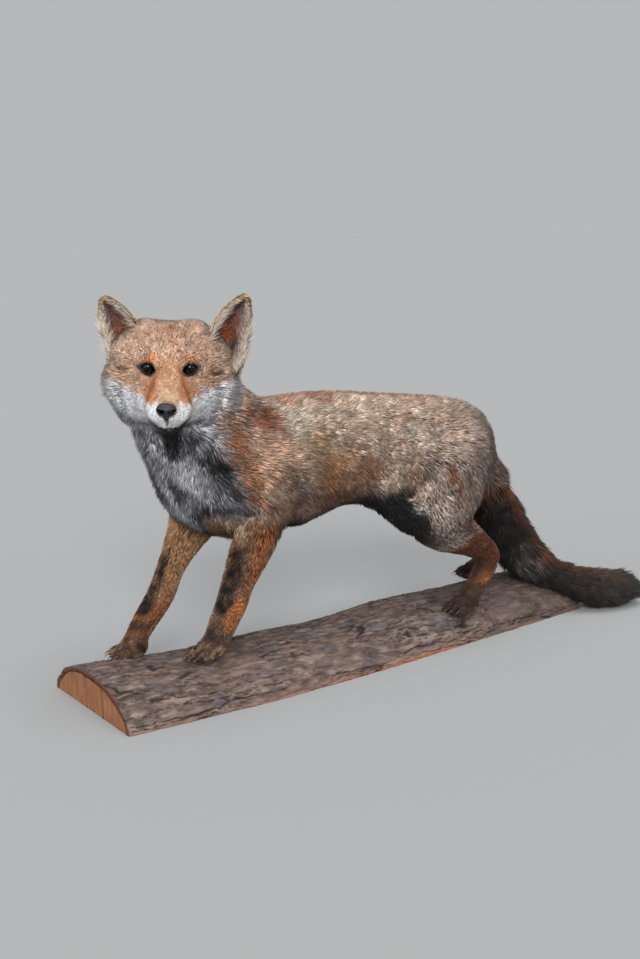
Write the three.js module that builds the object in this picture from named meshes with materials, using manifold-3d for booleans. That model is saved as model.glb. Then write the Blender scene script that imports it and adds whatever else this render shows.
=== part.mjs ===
// A taxidermy red fox on a half-log slab, life size, in millimetres.
// +Z is up, the fox faces -Y, and +X is its left side. The origin is the middle
// of the slab's flat underside. Every outline includes the coat, to its tips.

import * as THREE from 'three';
import { mergeVertices } from 'three/addons/utils/BufferGeometryUtils.js';
import Module from 'manifold-3d';

const wasm = await Module();
wasm.setup();

// ---------------------------------------------------------------- driving sizes

const GAP = 0.3; // clearance between neighbouring pieces

const LOG_LENGTH = 800;
const LOG_HEIGHT = 50;
const BARK_THICKNESS = 9;

const EYE_MIDPOINT = [70.3, -293.8, 445]; // between the eyes, on the face
const HEAD_YAW = 61; // degrees that the face turns towards the fox's left
const HEAD_PITCH = 8.5; // degrees that the face looks down
const HEAD_ROLL = 3.5; // degrees that the left side of the face drops
const EYE_SPACING = 51;
const EYE_RADIUS = 9.8;

const TRUNK_SLIMNESS = 0.84; // trunk width over trunk height

// Size of the net's cells on each part of the body.
const CELL = {
  trunk: 34,
  neck: 29,
  crown: 19.5,
  face: 13.2,
  thigh: 24,
  limb: 17.5,
  paw: 11.5,
  tail: 24.5,
  nose: 4.2,
};

const COLOUR = {
  back: 0x9a8168,
  face: 0xb98a62,
  ruff: 0x9d9ba0,
  rust: 0xa05f33,
  sock: 0x4a3629,
  tail: 0x4b3f3b,
  ear: 0x8a6e58,
  nose: 0x1a1b22,
  eye: 0x1d0f08,
  bark: 0x6f5f58,
  wood: 0xc08a5c,
};

// ---------------------------------------------------------------- small vector tools

const add = (a, b) => [a[0] + b[0], a[1] + b[1], a[2] + b[2]];
const sub = (a, b) => [a[0] - b[0], a[1] - b[1], a[2] - b[2]];
const scale = (a, s) => [a[0] * s, a[1] * s, a[2] * s];
const dot = (a, b) => a[0] * b[0] + a[1] * b[1] + a[2] * b[2];
const cross = (a, b) => [
  a[1] * b[2] - a[2] * b[1],
  a[2] * b[0] - a[0] * b[2],
  a[0] * b[1] - a[1] * b[0],
];
const unit = (a) => scale(a, 1 / Math.hypot(...a));
const radians = (degrees) => (degrees * Math.PI) / 180;

/** Reads a smooth curve through rows [position, value, ...] at one position. */
function along(rows, position, column = 1) {
  const last = rows.length - 1;
  if (position <= rows[0][0]) return rows[0][column];
  if (position >= rows[last][0]) return rows[last][column];
  const i = rows.findIndex((row) => row[0] > position) - 1;
  const t = (position - rows[i][0]) / (rows[i + 1][0] - rows[i][0]);
  const slope = (k) => {
    const before = rows[Math.max(k - 1, 0)];
    const after = rows[Math.min(k + 1, last)];
    return (after[column] - before[column]) / (after[0] - before[0]);
  };
  const step = rows[i + 1][0] - rows[i][0];
  const a = rows[i][column];
  const b = rows[i + 1][column];
  const rise = b - a;
  const m0 = slope(i) * step;
  const m1 = slope(i + 1) * step;
  return a + t * (m0 + t * (3 * rise - 2 * m0 - m1 + t * (m0 + m1 - 2 * rise)));
}

// ---------------------------------------------------------------- rounded forms
// A form is a function of a point that is negative inside the form.

/** A tapered limb between two balls, given as [x, y, z, radius]. */
function taper(a, b) {
  const axis = sub(b, a);
  const length2 = dot(axis, axis);
  const shrink = a[3] - b[3];
  const side2 = length2 - shrink * shrink;
  return (p) => {
    const q = sub(p, a);
    const y = dot(q, axis);
    const z = y - length2;
    const across = sub(scale(q, length2), scale(axis, y));
    const x2 = dot(across, across);
    const y2 = y * y * length2;
    const z2 = z * z * length2;
    const k = Math.sign(shrink) * shrink * shrink * x2;
    if (Math.sign(z) * side2 * z2 > k) return Math.sqrt(x2 + z2) / length2 - b[3];
    if (Math.sign(y) * side2 * y2 < k) return Math.sqrt(x2 + y2) / length2 - a[3];
    return (Math.sqrt((x2 * side2) / length2) + y * shrink) / length2 - a[3];
  };
}

/** An ellipsoid, level with the axes that its point is given in. */
const oval = (centre, radii) => (p) => {
  const q = [0, 1, 2].map((i) => (p[i] - centre[i]) / radii[i]);
  const size = Math.hypot(...q);
  const slope = Math.hypot(...q.map((v, i) => v / radii[i]));
  return slope > 0 ? (size * (size - 1)) / slope : -Math.min(...radii);
};

/** Joins forms with a fillet of about the given width. */
const blend = (width, forms) => (p) =>
  forms.reduce((near, form) => {
    const far = form(p);
    const h = Math.max(width - Math.abs(near - far), 0) / width;
    return Math.min(near, far) - (h * h * width) / 4;
  }, 1e3);

/** A limb that bends smoothly through rows of [x, y, z, radius]. */
function limb(rows, stepsPerRow = 3) {
  const numbered = rows.map((row, i) => [i, ...row]);
  const count = (rows.length - 1) * stepsPerRow;
  const balls = Array.from({ length: count + 1 }, (_, i) =>
    [1, 2, 3, 4].map((column) => along(numbered, i / stepsPerRow, column)),
  );
  return blend(3, balls.slice(1).map((ball, i) => taper(balls[i], ball)));
}

/** The same form seen through another set of axes. */
const within = (frame, form) => (p) => form(frame.local(p));

// ---------------------------------------------------------------- the head's own axes

/** Axes for the head: forward along the muzzle, the fox's left, and up. */
function makeHeadFrame() {
  const yaw = radians(HEAD_YAW);
  const pitch = radians(HEAD_PITCH);
  const roll = radians(HEAD_ROLL);
  const forward = [
    Math.sin(yaw) * Math.cos(pitch),
    -Math.cos(yaw) * Math.cos(pitch),
    -Math.sin(pitch),
  ];
  const levelLeft = unit(cross([0, 0, 1], forward));
  const levelUp = cross(forward, levelLeft);
  const left = add(scale(levelLeft, Math.cos(roll)), scale(levelUp, -Math.sin(roll)));
  const up = cross(forward, left);
  const axes = [forward, left, up];
  return {
    local: (p) => axes.map((axis) => dot(sub(p, EYE_MIDPOINT), axis)),
    world: (p) => axes.reduce((sum, axis, i) => add(sum, scale(axis, p[i])), EYE_MIDPOINT),
    turn: (v) => axes.reduce((sum, axis, i) => add(sum, scale(axis, v[i])), [0, 0, 0]),
  };
}

const headFrame = makeHeadFrame();

// ---------------------------------------------------------------- the fox's body

/** The barrel of the body: rows of [y, z, half height], from the chest to the rump. */
const TRUNK = [
  [-165, 289, 92],
  [-95, 291, 94],
  [-15, 299, 84],
  [65, 291, 81],
  [135, 283, 79],
  [180, 279, 76],
  [213, 276, 71],
];

function trunkForm() {
  const flatten = (p) => [p[0] / TRUNK_SLIMNESS, p[1], p[2]];
  const barrel = limb(TRUNK.map(([y, z, radius]) => [0, y, z, radius]));
  return (p) => barrel(flatten(p));
}

const bib = oval([-7, -216, 298], [81, 64, 82]);

const neck = limb([
  [0, -170, 308, 82],
  [-7, -224, 364, 82],
  [-6, -246, 424, 66],
]);

/** One front leg: shoulder, elbow, forearm, wrist and pastern. */
const FORELEG = {
  left: [
    [46, -130, 290, 48],
    [50, -157, 236, 35],
    [49, -171, 200, 31],
    [46, -196, 150, 22.5],
    [45, -208, 120, 21],
    [44, -222, 95, 19],
    [42, -233, 72, 17],
  ],
  right: [
    [-46, -165, 284, 50],
    [-50, -195, 236, 40],
    [-53, -222, 195, 27],
    [-54, -245, 158, 19.5],
    [-53, -264, 122, 19],
    [-51, -290, 91, 17],
    [-49, -308, 70, 15],
  ],
};

/** One hind leg: hip, thigh, knee, gaskin, hock and the foot down to the toes. */
const HINDLEG = {
  left: [
    [34, 190, 268, 60],
    [44, 166, 222, 55],
    [58, 138, 180, 42],
    [66, 190, 144, 25],
    [70, 224, 115, 17.5],
    [73, 206, 88, 16],
    [77, 182, 64, 15.5],
  ],
  right: [
    [-34, 200, 266, 58],
    [-44, 206, 222, 54],
    [-54, 212, 180, 38],
    [-54, 284, 146, 24],
    [-52, 342, 116, 17],
    [-50, 330, 88, 15.5],
    [-47, 312, 66, 15],
  ],
};

/** The fold of skin and fur from the belly to the front of each thigh. */
const FLANK_FOLD = {
  left: [[30, 52, 236, 29], [50, 90, 190, 23]],
  right: [[-32, 100, 244, 28], [-48, 150, 200, 24]],
};

/** Paws: the middle of each foot's pad, and its heading in degrees from -Y to +X. */
const PAWS = {
  front_left: { at: [38, -246, 47], heading: 6 },
  front_right: { at: [-45, -320, 43], heading: -4 },
  hind_left: { at: [79, 163, 38], heading: 8 },
  hind_right: { at: [-46, 293, 43], heading: -4 },
};

const PAW_LENGTH = 62;
const PAW_WIDTH = 44;
const PAW_HEIGHT = 28;

/** A paw: a low pad, with four toes spread in front of it. */
function pawForm({ at, heading }) {
  const turn = radians(heading);
  const ahead = [Math.sin(turn), -Math.cos(turn), 0];
  const aside = [Math.cos(turn), Math.sin(turn), 0];
  const frame = { local: (p) => [dot(sub(p, at), ahead), dot(sub(p, at), aside), p[2] - at[2]] };
  const pad = oval([-4, 0, PAW_HEIGHT * 0.5], [PAW_LENGTH * 0.36, PAW_WIDTH * 0.4, PAW_HEIGHT * 0.56]);
  const toes = [-1.5, -0.5, 0.5, 1.5].map((place) => {
    const reach = PAW_LENGTH * (0.26 - 0.05 * Math.abs(place));
    const spread = PAW_WIDTH * 0.23 * place;
    return oval([reach, spread, PAW_HEIGHT * 0.33], [PAW_LENGTH * 0.23, PAW_WIDTH * 0.15, PAW_HEIGHT * 0.36]);
  });
  return within(frame, blend(7, [pad, ...toes]));
}

/** The brush: rows of [x, y, z, radius] from inside the rump to the wispy end. */
const TAIL = [
  [0, 244, 256, 34],
  [2, 280, 216, 33],
  [6, 299, 172, 35],
  [12, 315, 128, 38],
  [22, 331, 94, 37],
  [48, 353, 68, 28],
  [74, 383, 50, 25],
  [98, 417, 35, 31],
  [112, 450, 31, 27],
  [124, 485, 25, 9],
];
const TAIL_ROOT_ROWS = 2; // rows of TAIL that also belong to the rump's outline

// ---------------------------------------------------------------- the head

/** The skull, muzzle, cheeks and ruff, in the head's own axes [forward, left, up]. */
function headForm() {
  const bothSides = (make) => [1, -1].map(make);
  const skull = oval([-56, 0, -2], [58, 56, 50]);
  const forehead = taper([-34, 0, 10, 37], [2, 0, -9, 21]);
  const bridge = taper([-4, 0, -15, 20], [66, 0, -33, 11.5]);
  const muzzle = taper([2, 0, -34, 28], [57, 0, -42, 15]);
  const jaw = taper([58, 0, -56, 8.5], [0, 0, -60, 20]);
  const lips = bothSides((s) => oval([46, 12 * s, -42], [23, 14, 12]));
  const brows = bothSides((s) => taper([-8, 22 * s, 11, 8], [-32, 40 * s, 10, 14]));
  const pads = bothSides((s) => taper([22, 12 * s, -42, 14], [-20, 34 * s, -46, 24]));
  const cheeks = bothSides((s) => taper([-2, 18 * s, -28, 15], [-44, 44 * s, -24, 33]));
  const ruff = bothSides((s) => oval([-60, 50 * s, -33], [30, 36, 37]));
  const jowls = bothSides((s) => oval([-54, 32 * s, -62], [36, 35, 32]));
  const throat = taper([20, 0, -58, 14], [-40, 0, -70, 34]);
  const earRoots = bothSides((s) => taper([-58, 34 * s, 30, 19], [-64, 60 * s, 6, 18]));
  const middle = blend(14, [skull, forehead, bridge, muzzle, throat]);
  const face = blend(9, [middle, jaw, ...lips, ...brows]);
  return within(headFrame, blend(24, [face, ...pads, ...cheeks, ...ruff, ...jowls, ...earRoots]));
}

const NOSE = { at: [73, -2, -31], radii: [8.5, 11.5, 8] };
const NOSTRIL_SPREAD = 5.4;

/** The bare nose pad, with a nostril on each side. */
function noseForm() {
  const pad = oval(NOSE.at, NOSE.radii);
  const wings = [1, -1].map((s) => oval(add(NOSE.at, [1, s * 5.5, -0.5]), [8, 6, 6.5]));
  const lip = oval(add(NOSE.at, [1, 0, -8]), [5, 4, 6]);
  const nostrils = [1, -1].map((s) => oval(add(NOSE.at, [8, s * NOSTRIL_SPREAD, -0.5]), [4, 2.4, 2.2]));
  const solid = blend(3, [pad, ...wings, lip]);
  return within(headFrame, (p) => Math.max(solid(p), ...nostrils.map((form) => -form(p))));
}

const EYE_DEPTH = 7.4; // how far an eye's middle lies behind the face
const LIDS = { ahead: 3, radii: [7, 10, 7.8] }; // the space between the lids
const headPlace = (ahead, side) => headFrame.world([ahead, (side * EYE_SPACING) / 2, 0]);

// ---------------------------------------------------------------- closed meshes

/** The twelve edges of a lattice cell, as pairs of its corners, numbered by bits x, y, z. */
const CELL_EDGES = [];
for (const bit of [1, 2, 4]) {
  for (let corner = 0; corner < 8; corner++) if (!(corner & bit)) CELL_EDGES.push([corner, corner | bit]);
}
const edgeNumber = (a, b) => CELL_EDGES.findIndex(([c, d]) => (c === a && d === b) || (c === b && d === a));

/** The edges round each of a cell's six faces. */
const CELL_FACES = [[1, 2, 4], [2, 4, 1], [4, 1, 2]].flatMap(([across, u, v]) =>
  [0, across].map((start) => {
    const corners = [start, start | u, start | u | v, start | v];
    return corners.map((corner, i) => edgeNumber(corner, corners[(i + 1) % 4]));
  }),
);

/** Groups a cell's crossed edges into sheets, so that two sheets never share a point. */
function sheetsOfCell(inside) {
  const sheet = CELL_EDGES.map(([a, b], i) => (inside[a] === inside[b] ? -1 : i));
  for (const face of CELL_FACES) {
    const crossed = face.filter((edge) => sheet[edge] >= 0);
    if (crossed.length === 0) continue;
    const [keep, drop] = crossed.map((edge) => sheet[edge]);
    sheet.forEach((value, i) => {
      if (value === drop) sheet[i] = keep;
    });
  }
  return sheet;
}

/** Fills lattice faces whose inside corners meet only diagonally, as they have no clear surface. */
function fillDiagonals(value, count, index, depth) {
  const isInside = (at) => value[index(at)] < 0;
  let filled = 1;
  while (filled > 0) {
    filled = 0;
    for (const [u, v] of [[[1, 0, 0], [0, 1, 0]], [[0, 1, 0], [0, 0, 1]], [[0, 0, 1], [1, 0, 0]]]) {
      const end = [0, 1, 2].map((i) => count[i] - u[i] - v[i]);
      for (let k = 0; k < end[2]; k++) {
        for (let j = 0; j < end[1]; j++) {
          for (let i = 0; i < end[0]; i++) {
            const at = [i, j, k];
            const corners = [at, add(at, u), add(add(at, u), v), add(at, v)];
            const [a, b, c, d] = corners.map(isInside);
            if (a !== c || b !== d || a === b) continue;
            const outside = corners.filter((corner) => !isInside(corner));
            outside.sort((first, second) => value[index(first)] - value[index(second)]);
            value[index(outside[0])] = -depth;
            filled++;
          }
        }
      }
    }
  }
}

/**
 * Turns a form into a closed net of triangles: a lattice is laid over it, and each
 * cell gets a point for each sheet of surface that crosses it, drawn onto the form.
 * What reaches past the lattice is closed off at its edge.
 */
function polygonise(form, inner, outer, cell) {
  const low = inner.map((v) => v - 2 * cell);
  const count = [0, 1, 2].map((i) => Math.ceil((outer[i] - inner[i]) / cell) + 5);
  const index = ([i, j, k]) => i + count[0] * (j + count[1] * k);
  const cornerOf = (at, corner) => [at[0] + (corner & 1), at[1] + ((corner >> 1) & 1), at[2] + (corner >> 2)];
  const placeOf = (at) => add(low, scale(at, cell));
  const everyCell = (start, visit) => {
    for (let k = start; k < count[2] - 1; k++) {
      for (let j = start; j < count[1] - 1; j++) {
        for (let i = start; i < count[0] - 1; i++) visit([i, j, k]);
      }
    }
  };

  const value = new Float64Array(count[0] * count[1] * count[2]);
  for (let k = 0; k < count[2]; k++) {
    for (let j = 0; j < count[1]; j++) {
      for (let i = 0; i < count[0]; i++) {
        const at = [i, j, k];
        const onEdge = at.some((step, axis) => step < 2 || step > count[axis] - 3);
        value[index(at)] = onEdge ? cell : form(placeOf(at));
      }
    }
  }

  fillDiagonals(value, count, index, cell * 0.02);

  const points = [];
  const pointOfEdge = new Int32Array(value.length * CELL_EDGES.length);
  everyCell(0, (at) => {
    const values = [0, 1, 2, 3, 4, 5, 6, 7].map((corner) => value[index(cornerOf(at, corner))]);
    const inside = values.map((v) => v < 0);
    if (inside.every((v) => v === inside[0])) return;
    const sheets = sheetsOfCell(inside);
    for (const name of new Set(sheets.filter((sheet) => sheet >= 0))) {
      const members = CELL_EDGES.map((_, edge) => edge).filter((edge) => sheets[edge] === name);
      const crossings = members.map((edge) => {
        const [a, b] = CELL_EDGES[edge];
        const t = values[a] / (values[a] - values[b]);
        return add(scale(placeOf(cornerOf(at, a)), 1 - t), scale(placeOf(cornerOf(at, b)), t));
      });
      const middle = scale(crossings.reduce(add), 1 / crossings.length);
      for (const edge of members) pointOfEdge[index(at) * CELL_EDGES.length + edge] = points.length;
      points.push(drawOnto(form, middle, cell * 0.35));
    }
  });

  const triangles = [];
  const addQuad = (a, b, c, d) => {
    const ac = Math.hypot(...sub(points[a], points[c]));
    const bd = Math.hypot(...sub(points[b], points[d]));
    if (ac <= bd) triangles.push(a, b, c, a, c, d);
    else triangles.push(b, c, d, b, d, a);
  };
  everyCell(1, (at) => {
    const here = value[index(at)] < 0;
    [1, 2, 4].forEach((bit, axis) => {
      if (here === value[index(cornerOf(at, bit))] < 0) return;
      const uBit = [2, 4, 1][axis];
      const vBit = [4, 1, 2][axis];
      const pointBeside = (corner) => {
        const cellAt = sub(at, cornerOf([0, 0, 0], corner));
        return pointOfEdge[index(cellAt) * CELL_EDGES.length + edgeNumber(corner, corner | bit)];
      };
      const ring = [0, uBit, uBit | vBit, vBit].map(pointBeside);
      addQuad(...(here ? ring : ring.reverse()));
    });
  });
  return solidFrom(points.flat(), triangles);
}

/** Moves a point onto the surface of a form, by no more than the given reach. */
function drawOnto(form, start, reach) {
  const step = 0.5;
  let p = start;
  for (let turn = 0; turn < 2; turn++) {
    const slope = [0, 1, 2].map((i) => {
      const a = [...p];
      const b = [...p];
      a[i] += step;
      b[i] -= step;
      return (form(a) - form(b)) / (2 * step);
    });
    const size = Math.max(dot(slope, slope), 0.2);
    p = sub(p, scale(slope, form(p) / size));
  }
  const move = sub(p, start);
  return add(start, scale(move, Math.min(1, reach / Math.max(Math.hypot(...move), 1e-6))));
}

/** A manifold solid from flat lists of coordinates and corner numbers. */
function solidFrom(coordinates, triangles) {
  const mesh = new wasm.Mesh({
    numProp: 3,
    vertProperties: new Float32Array(coordinates),
    triVerts: new Uint32Array(triangles),
  });
  return new wasm.Manifold(mesh);
}

/** A manifold solid from one of three's own geometries. */
function solidOf(geometry) {
  geometry.deleteAttribute('normal');
  geometry.deleteAttribute('uv');
  const merged = mergeVertices(geometry, 1e-4);
  return solidFrom(merged.attributes.position.array, merged.index.array);
}

/** A geometry from a manifold solid. */
function geometryOf(solid) {
  const { vertProperties, triVerts } = solid.getMesh();
  const geometry = new THREE.BufferGeometry();
  geometry.setAttribute('position', new THREE.BufferAttribute(Float32Array.from(vertProperties), 3));
  geometry.setIndex(new THREE.BufferAttribute(Uint32Array.from(triVerts), 1));
  geometry.computeVertexNormals();
  return geometry;
}

const FAR = 1500; // size of the blocks that cut the body along planes

/** The space behind a plane, given as [point, normal], and half the gap away from it. */
function behind([point, normal]) {
  const block = new THREE.BoxGeometry(FAR, FAR, FAR);
  const up = new THREE.Vector3(0, 0, 1);
  const turn = new THREE.Quaternion().setFromUnitVectors(up, new THREE.Vector3(...unit(normal)));
  block.translate(0, 0, -FAR / 2 - GAP / 2);
  block.applyQuaternion(turn);
  block.translate(...point);
  return solidOf(block);
}

const flip = ([point, normal]) => [point, scale(normal, -1)];
const moved = ([point, normal], by) => [add(point, scale(unit(normal), by)), normal];
const ahead = (plane) => behind(flip(plane));
const overlapOf = (solids) => solids.reduce((all, solid) => all.intersect(solid));

/** The largest body of a solid, so that a cut leaves no crumbs. */
const largest = (solid) =>
  solid.decompose().reduce((best, part) => (part.volume() > best.volume() ? part : best));

// ---------------------------------------------------------------- the log slab

/** Half-log outline: rows of [y, right edge x, left edge x], the bark at floor level. */
const LOG_EDGES = [
  [-400, -120, 112],
  [-330, -108, 118],
  [-190, -94, 125],
  [-30, -86, 122],
  [160, -90, 108],
  [400, -88, 90],
];

const LOG_SECTIONS = 10;
const LOG_ARC = 12;

/** Height of the bark's crown above the floor at a place across the slab, -1 to 1. */
const barkRise = (across) => Math.pow(1 - Math.pow(Math.abs(across), 2.4), 0.62);

/** One section's point at y: across runs -1 to 1, inset shrinks it towards the pith. */
function barkPoint(y, across, inset) {
  const right = along(LOG_EDGES, y, 1) + inset;
  const left = along(LOG_EDGES, y, 2) - inset;
  const x = (left + right) / 2 + (across * (left - right)) / 2;
  const swell = 1 + 0.05 * Math.sin(y / 90) - 0.04 * Math.sin(y / 37 + 2);
  return [x, (LOG_HEIGHT * swell - inset) * barkRise(across)];
}

/** Even steps of angle across the slab, as places from -1 to 1. */
const arcPlaces = Array.from({ length: LOG_ARC + 1 }, (_, i) => -Math.cos((Math.PI * i) / LOG_ARC));

/** Joins a loop of [x, z] points, given for each y, into one closed body. */
function loft(stations, loopAt) {
  const coordinates = [];
  const triangles = [];
  const size = loopAt(stations[0]).length;
  for (const y of stations) {
    for (const [x, z] of loopAt(y)) coordinates.push(x, y, z);
  }
  for (let s = 0; s < stations.length - 1; s++) {
    for (let i = 0; i < size; i++) {
      const a = s * size + i;
      const b = s * size + ((i + 1) % size);
      triangles.push(a, b, a + size, b, b + size, a + size);
    }
  }
  const addEnd = (station, facing) => {
    const base = station * size;
    const loop = loopAt(stations[station]).map(([x, z]) => new THREE.Vector2(x, z));
    for (const corners of THREE.ShapeUtils.triangulateShape(loop, [])) {
      const area = THREE.ShapeUtils.area(corners.map((corner) => loop[corner]));
      const ordered = area * facing > 0 ? corners.reverse() : corners;
      triangles.push(...ordered.map((corner) => base + corner));
    }
  };
  addEnd(0, -1);
  addEnd(stations.length - 1, 1);
  return solidFrom(coordinates, triangles);
}

const logStations = Array.from(
  { length: LOG_SECTIONS + 1 },
  (_, i) => LOG_LENGTH * (i / LOG_SECTIONS - 0.5),
);

/** One section of the slab, flat below, shrunk by an inset or grown by a negative one. */
const slabLoop = (inset) => (y) => arcPlaces.map((across) => barkPoint(y, across, inset));

/** The same section drawn down below the floor, to cut the bark hollow. */
const hollowLoop = (y) => {
  const arc = slabLoop(BARK_THICKNESS)(y);
  return [[arc[0][0], -1], ...arc, [arc[LOG_ARC][0], -1]];
};

/** The bark: a curved shell over the wood, down to the floor at both sides. */
function barkSolid() {
  const longer = logStations.map((y) => y * (1 + 1 / LOG_LENGTH));
  return loft(logStations, slabLoop(0)).subtract(loft(longer, hollowLoop));
}

// ---------------------------------------------------------------- ears

const EAR_LENGTH = 98; // from the root inside the head to the tip
const EAR_HALF_WIDTH = 29;
const EAR_THICKNESS = 4.5;
const EAR_ROWS = 7;
const EAR_COLUMNS = 8;

/** Ears in head axes: the tip, the way from root to tip, and the way the cup opens. */
const EARS = {
  ear_left: { tip: [-62, 97, 82], rise: [-0.05, 0.4, 0.91], open: [0.93, 0.28, 0] },
  ear_right: { tip: [-62, -85, 76], rise: [-0.05, -0.5, 0.86], open: [0.93, -0.28, 0] },
};

/** A pointed cup, rolled round its own axis and open towards the front. */
function earSolid({ tip, rise, open }) {
  const axis = unit(rise);
  const front = unit(sub(open, scale(axis, dot(open, axis))));
  const side = cross(axis, front);
  const earPoint = (layer, row, column) => {
    const t = 1 - Math.pow(1 - row / EAR_ROWS, 1.4);
    const halfWidth = EAR_HALF_WIDTH * Math.pow(1 - Math.pow(t, 2.3), 0.62) + 4 * t;
    const roll = radians(100 - 45 * t);
    const radius = halfWidth / Math.sin(Math.min(roll, Math.PI / 2));
    const angle = ((2 * column) / EAR_COLUMNS - 1) * roll;
    const reach = radius - layer * EAR_THICKNESS * (1 - 0.6 * t);
    const back = reach * Math.cos(angle) - radius * 0.4;
    const offset = add(scale(front, -back), scale(side, reach * Math.sin(angle)));
    return headFrame.world(add(add(tip, scale(axis, EAR_LENGTH * (t - 1))), offset));
  };
  const coordinates = [];
  for (const layer of [0, 1]) {
    for (let row = 0; row <= EAR_ROWS; row++) {
      for (let column = 0; column <= EAR_COLUMNS; column++) {
        coordinates.push(...earPoint(layer, row, column));
      }
    }
  }
  const number = (layer, row, column) => (layer * (EAR_ROWS + 1) + row) * (EAR_COLUMNS + 1) + column;
  const triangles = [];
  const addQuad = (corners) => {
    const [a, b, c, d] = corners.map((corner) => number(...corner));
    triangles.push(a, b, c, a, c, d);
  };
  for (let row = 0; row < EAR_ROWS; row++) {
    for (let column = 0; column < EAR_COLUMNS; column++) {
      const square = (layer) => [
        [layer, row, column],
        [layer, row, column + 1],
        [layer, row + 1, column + 1],
        [layer, row + 1, column],
      ];
      addQuad(square(0).reverse());
      addQuad(square(1));
    }
    const rim = (column) => [[0, row, column], [0, row + 1, column], [1, row + 1, column], [1, row, column]];
    addQuad(rim(0).reverse());
    addQuad(rim(EAR_COLUMNS));
  }
  for (let column = 0; column < EAR_COLUMNS; column++) {
    const rim = (row) => [[0, row, column], [0, row, column + 1], [1, row, column + 1], [1, row, column]];
    addQuad(rim(0));
    addQuad(rim(EAR_ROWS).reverse());
  }
  return solidFrom(coordinates, triangles);
}

// ---------------------------------------------------------------- where the body is parted

/** Cuts across the body, from nose to tail: [point, normal], the normal towards the nose. */
const MOUTH = [headFrame.world([48, 0, -53.5]), headFrame.turn([-0.06, 0, 1])];
const MOUTH_CORNER = [headFrame.world([4, 0, 0]), headFrame.turn([1, 0, 0])];
const STOP = [headFrame.world([20, 0, 0]), headFrame.turn([1, 0, 0.25])];
const CHEEKS = [headFrame.world([-32, 0, 0]), headFrame.turn([1, 0, 0])];
const NAPE = [headFrame.world([-60, 0, -85]), headFrame.turn([0.6, 0, 0.8])];
const SHOULDERS = [[0, -182, 350], [0, -0.72, 0.69]];
const RIBS = [[0, -45, 300], [0, -1, 0]];
const LOIN = [[0, 110, 290], [0, -1, 0]];

/** A cut square across a limb at a place along its rows, the normal towards its far end. */
function cutAcross(rows, position) {
  const numbered = rows.map((row, i) => [i, ...row]);
  const at = (place) => [1, 2, 3].map((column) => along(numbered, place, column));
  return [at(position), unit(sub(at(position + 0.3), at(position - 0.3)))];
}

/** Planes round the top of each leg, with their normals pointing out of the leg. */
const LEG_TOPS = {
  foreleg_left: [[[0, -150, 230], [0, -0.25, 1]], [[20, 0, 0], [-1, 0, 0]], [[0, -98, 0], [0, 1, 0]]],
  foreleg_right: [[[0, -200, 226], [0, -0.25, 1]], [[-22, 0, 0], [1, 0, 0]], [[0, -142, 0], [0, 1, 0]]],
  hindleg_left: [
    [[52, 170, 290], [-0.2, 0.1, 1]],
    [[38, 0, 0], [-1, 0, 0]],
    [[0, 108, 290], [0, -0.84, 0.54]],
  ],
  hindleg_right: [
    [[-52, 190, 290], [0.2, 0.1, 1]],
    [[-38, 0, 0], [1, 0, 0]],
    [[0, 150, 290], [0, -0.84, 0.54]],
  ],
};

/** Each leg's three lengths, and the two cuts between them, from the top down. */
const LEG_LENGTHS = {
  foreleg_left: {
    names: ['upper_arm_left', 'forearm_left', 'forepaw_left'],
    cuts: [cutAcross(FORELEG.left, 2.2), cutAcross(FORELEG.left, 5.2)],
  },
  foreleg_right: {
    names: ['upper_arm_right', 'forearm_right', 'forepaw_right'],
    cuts: [cutAcross(FORELEG.right, 2.2), cutAcross(FORELEG.right, 5.2)],
  },
  hindleg_left: {
    names: ['thigh_left', 'hock_left', 'hindpaw_left'],
    cuts: [[[62, 190, 160], [0, 0.35, -0.94]], [[73, 204, 86], [0, -0.35, -0.94]]],
  },
  hindleg_right: {
    names: ['thigh_right', 'hock_right', 'hindpaw_right'],
    cuts: [[[-54, 280, 162], [0, 0.35, -0.94]], [[-50, 328, 86], [0, -0.35, -0.94]]],
  },
};

// ---------------------------------------------------------------- assembling

const fox = new THREE.Group();
fox.name = 'taxidermy_fox';

/** Adds one piece to the model under its own name. */
function addPiece(name, solid, color, roughness = 0.9) {
  const material = new THREE.MeshStandardMaterial({ color, roughness, metalness: 0 });
  const mesh = new THREE.Mesh(geometryOf(largest(solid)), material);
  mesh.name = name;
  fox.add(mesh);
}

const slabClearance = loft(logStations, slabLoop(-GAP));

addPiece('log_bark', barkSolid(), COLOUR.bark);
addPiece('log_wood', loft(logStations, slabLoop(BARK_THICKNESS + GAP)), COLOUR.wood, 0.8);

const tail = limb(TAIL);
const sides = ['left', 'right'];
const legs = sides.flatMap((side) => [limb(FORELEG[side]), limb(HINDLEG[side]), limb(FLANK_FOLD[side])]);
const tailRoot = limb(TAIL.slice(0, TAIL_ROOT_ROWS));
const trunkAndLegs = blend(24, [trunkForm(), blend(30, [bib, neck]), ...legs, tailRoot]);
const body = blend(10, [blend(24, [trunkAndLegs, headForm()]), ...Object.values(PAWS).map(pawForm)]);

/** The body's flesh inside a box, as a net with cells of one size. */
const bodyWithin = (low, high, cell) => polygonise(body, low, high, cell);

// The tail leaves the rump along its own outline.
const tailStart = cutAcross(TAIL, 0.75);
const tailNet = (grow) => polygonise((p) => tail(p) - grow, [-60, 190, -20], [170, 520, 310], CELL.tail);
const tailClearance = tailNet(9 * GAP).intersect(ahead(tailStart));
const tailSolid = tailNet(0).intersect(ahead(tailStart)).subtract(slabClearance);
const tailNames = ['tail_root', 'tail_middle', 'tail_tip'];
const tailCuts = [2.8, 5.6].map((place) => cutAcross(TAIL, place));
tailNames.forEach((name, i) => {
  const start = i > 0 ? [ahead(tailCuts[i - 1])] : [];
  const end = i < tailCuts.length ? [behind(tailCuts[i])] : [];
  addPiece(name, overlapOf([tailSolid, ...start, ...end]), COLOUR.tail);
});

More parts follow.
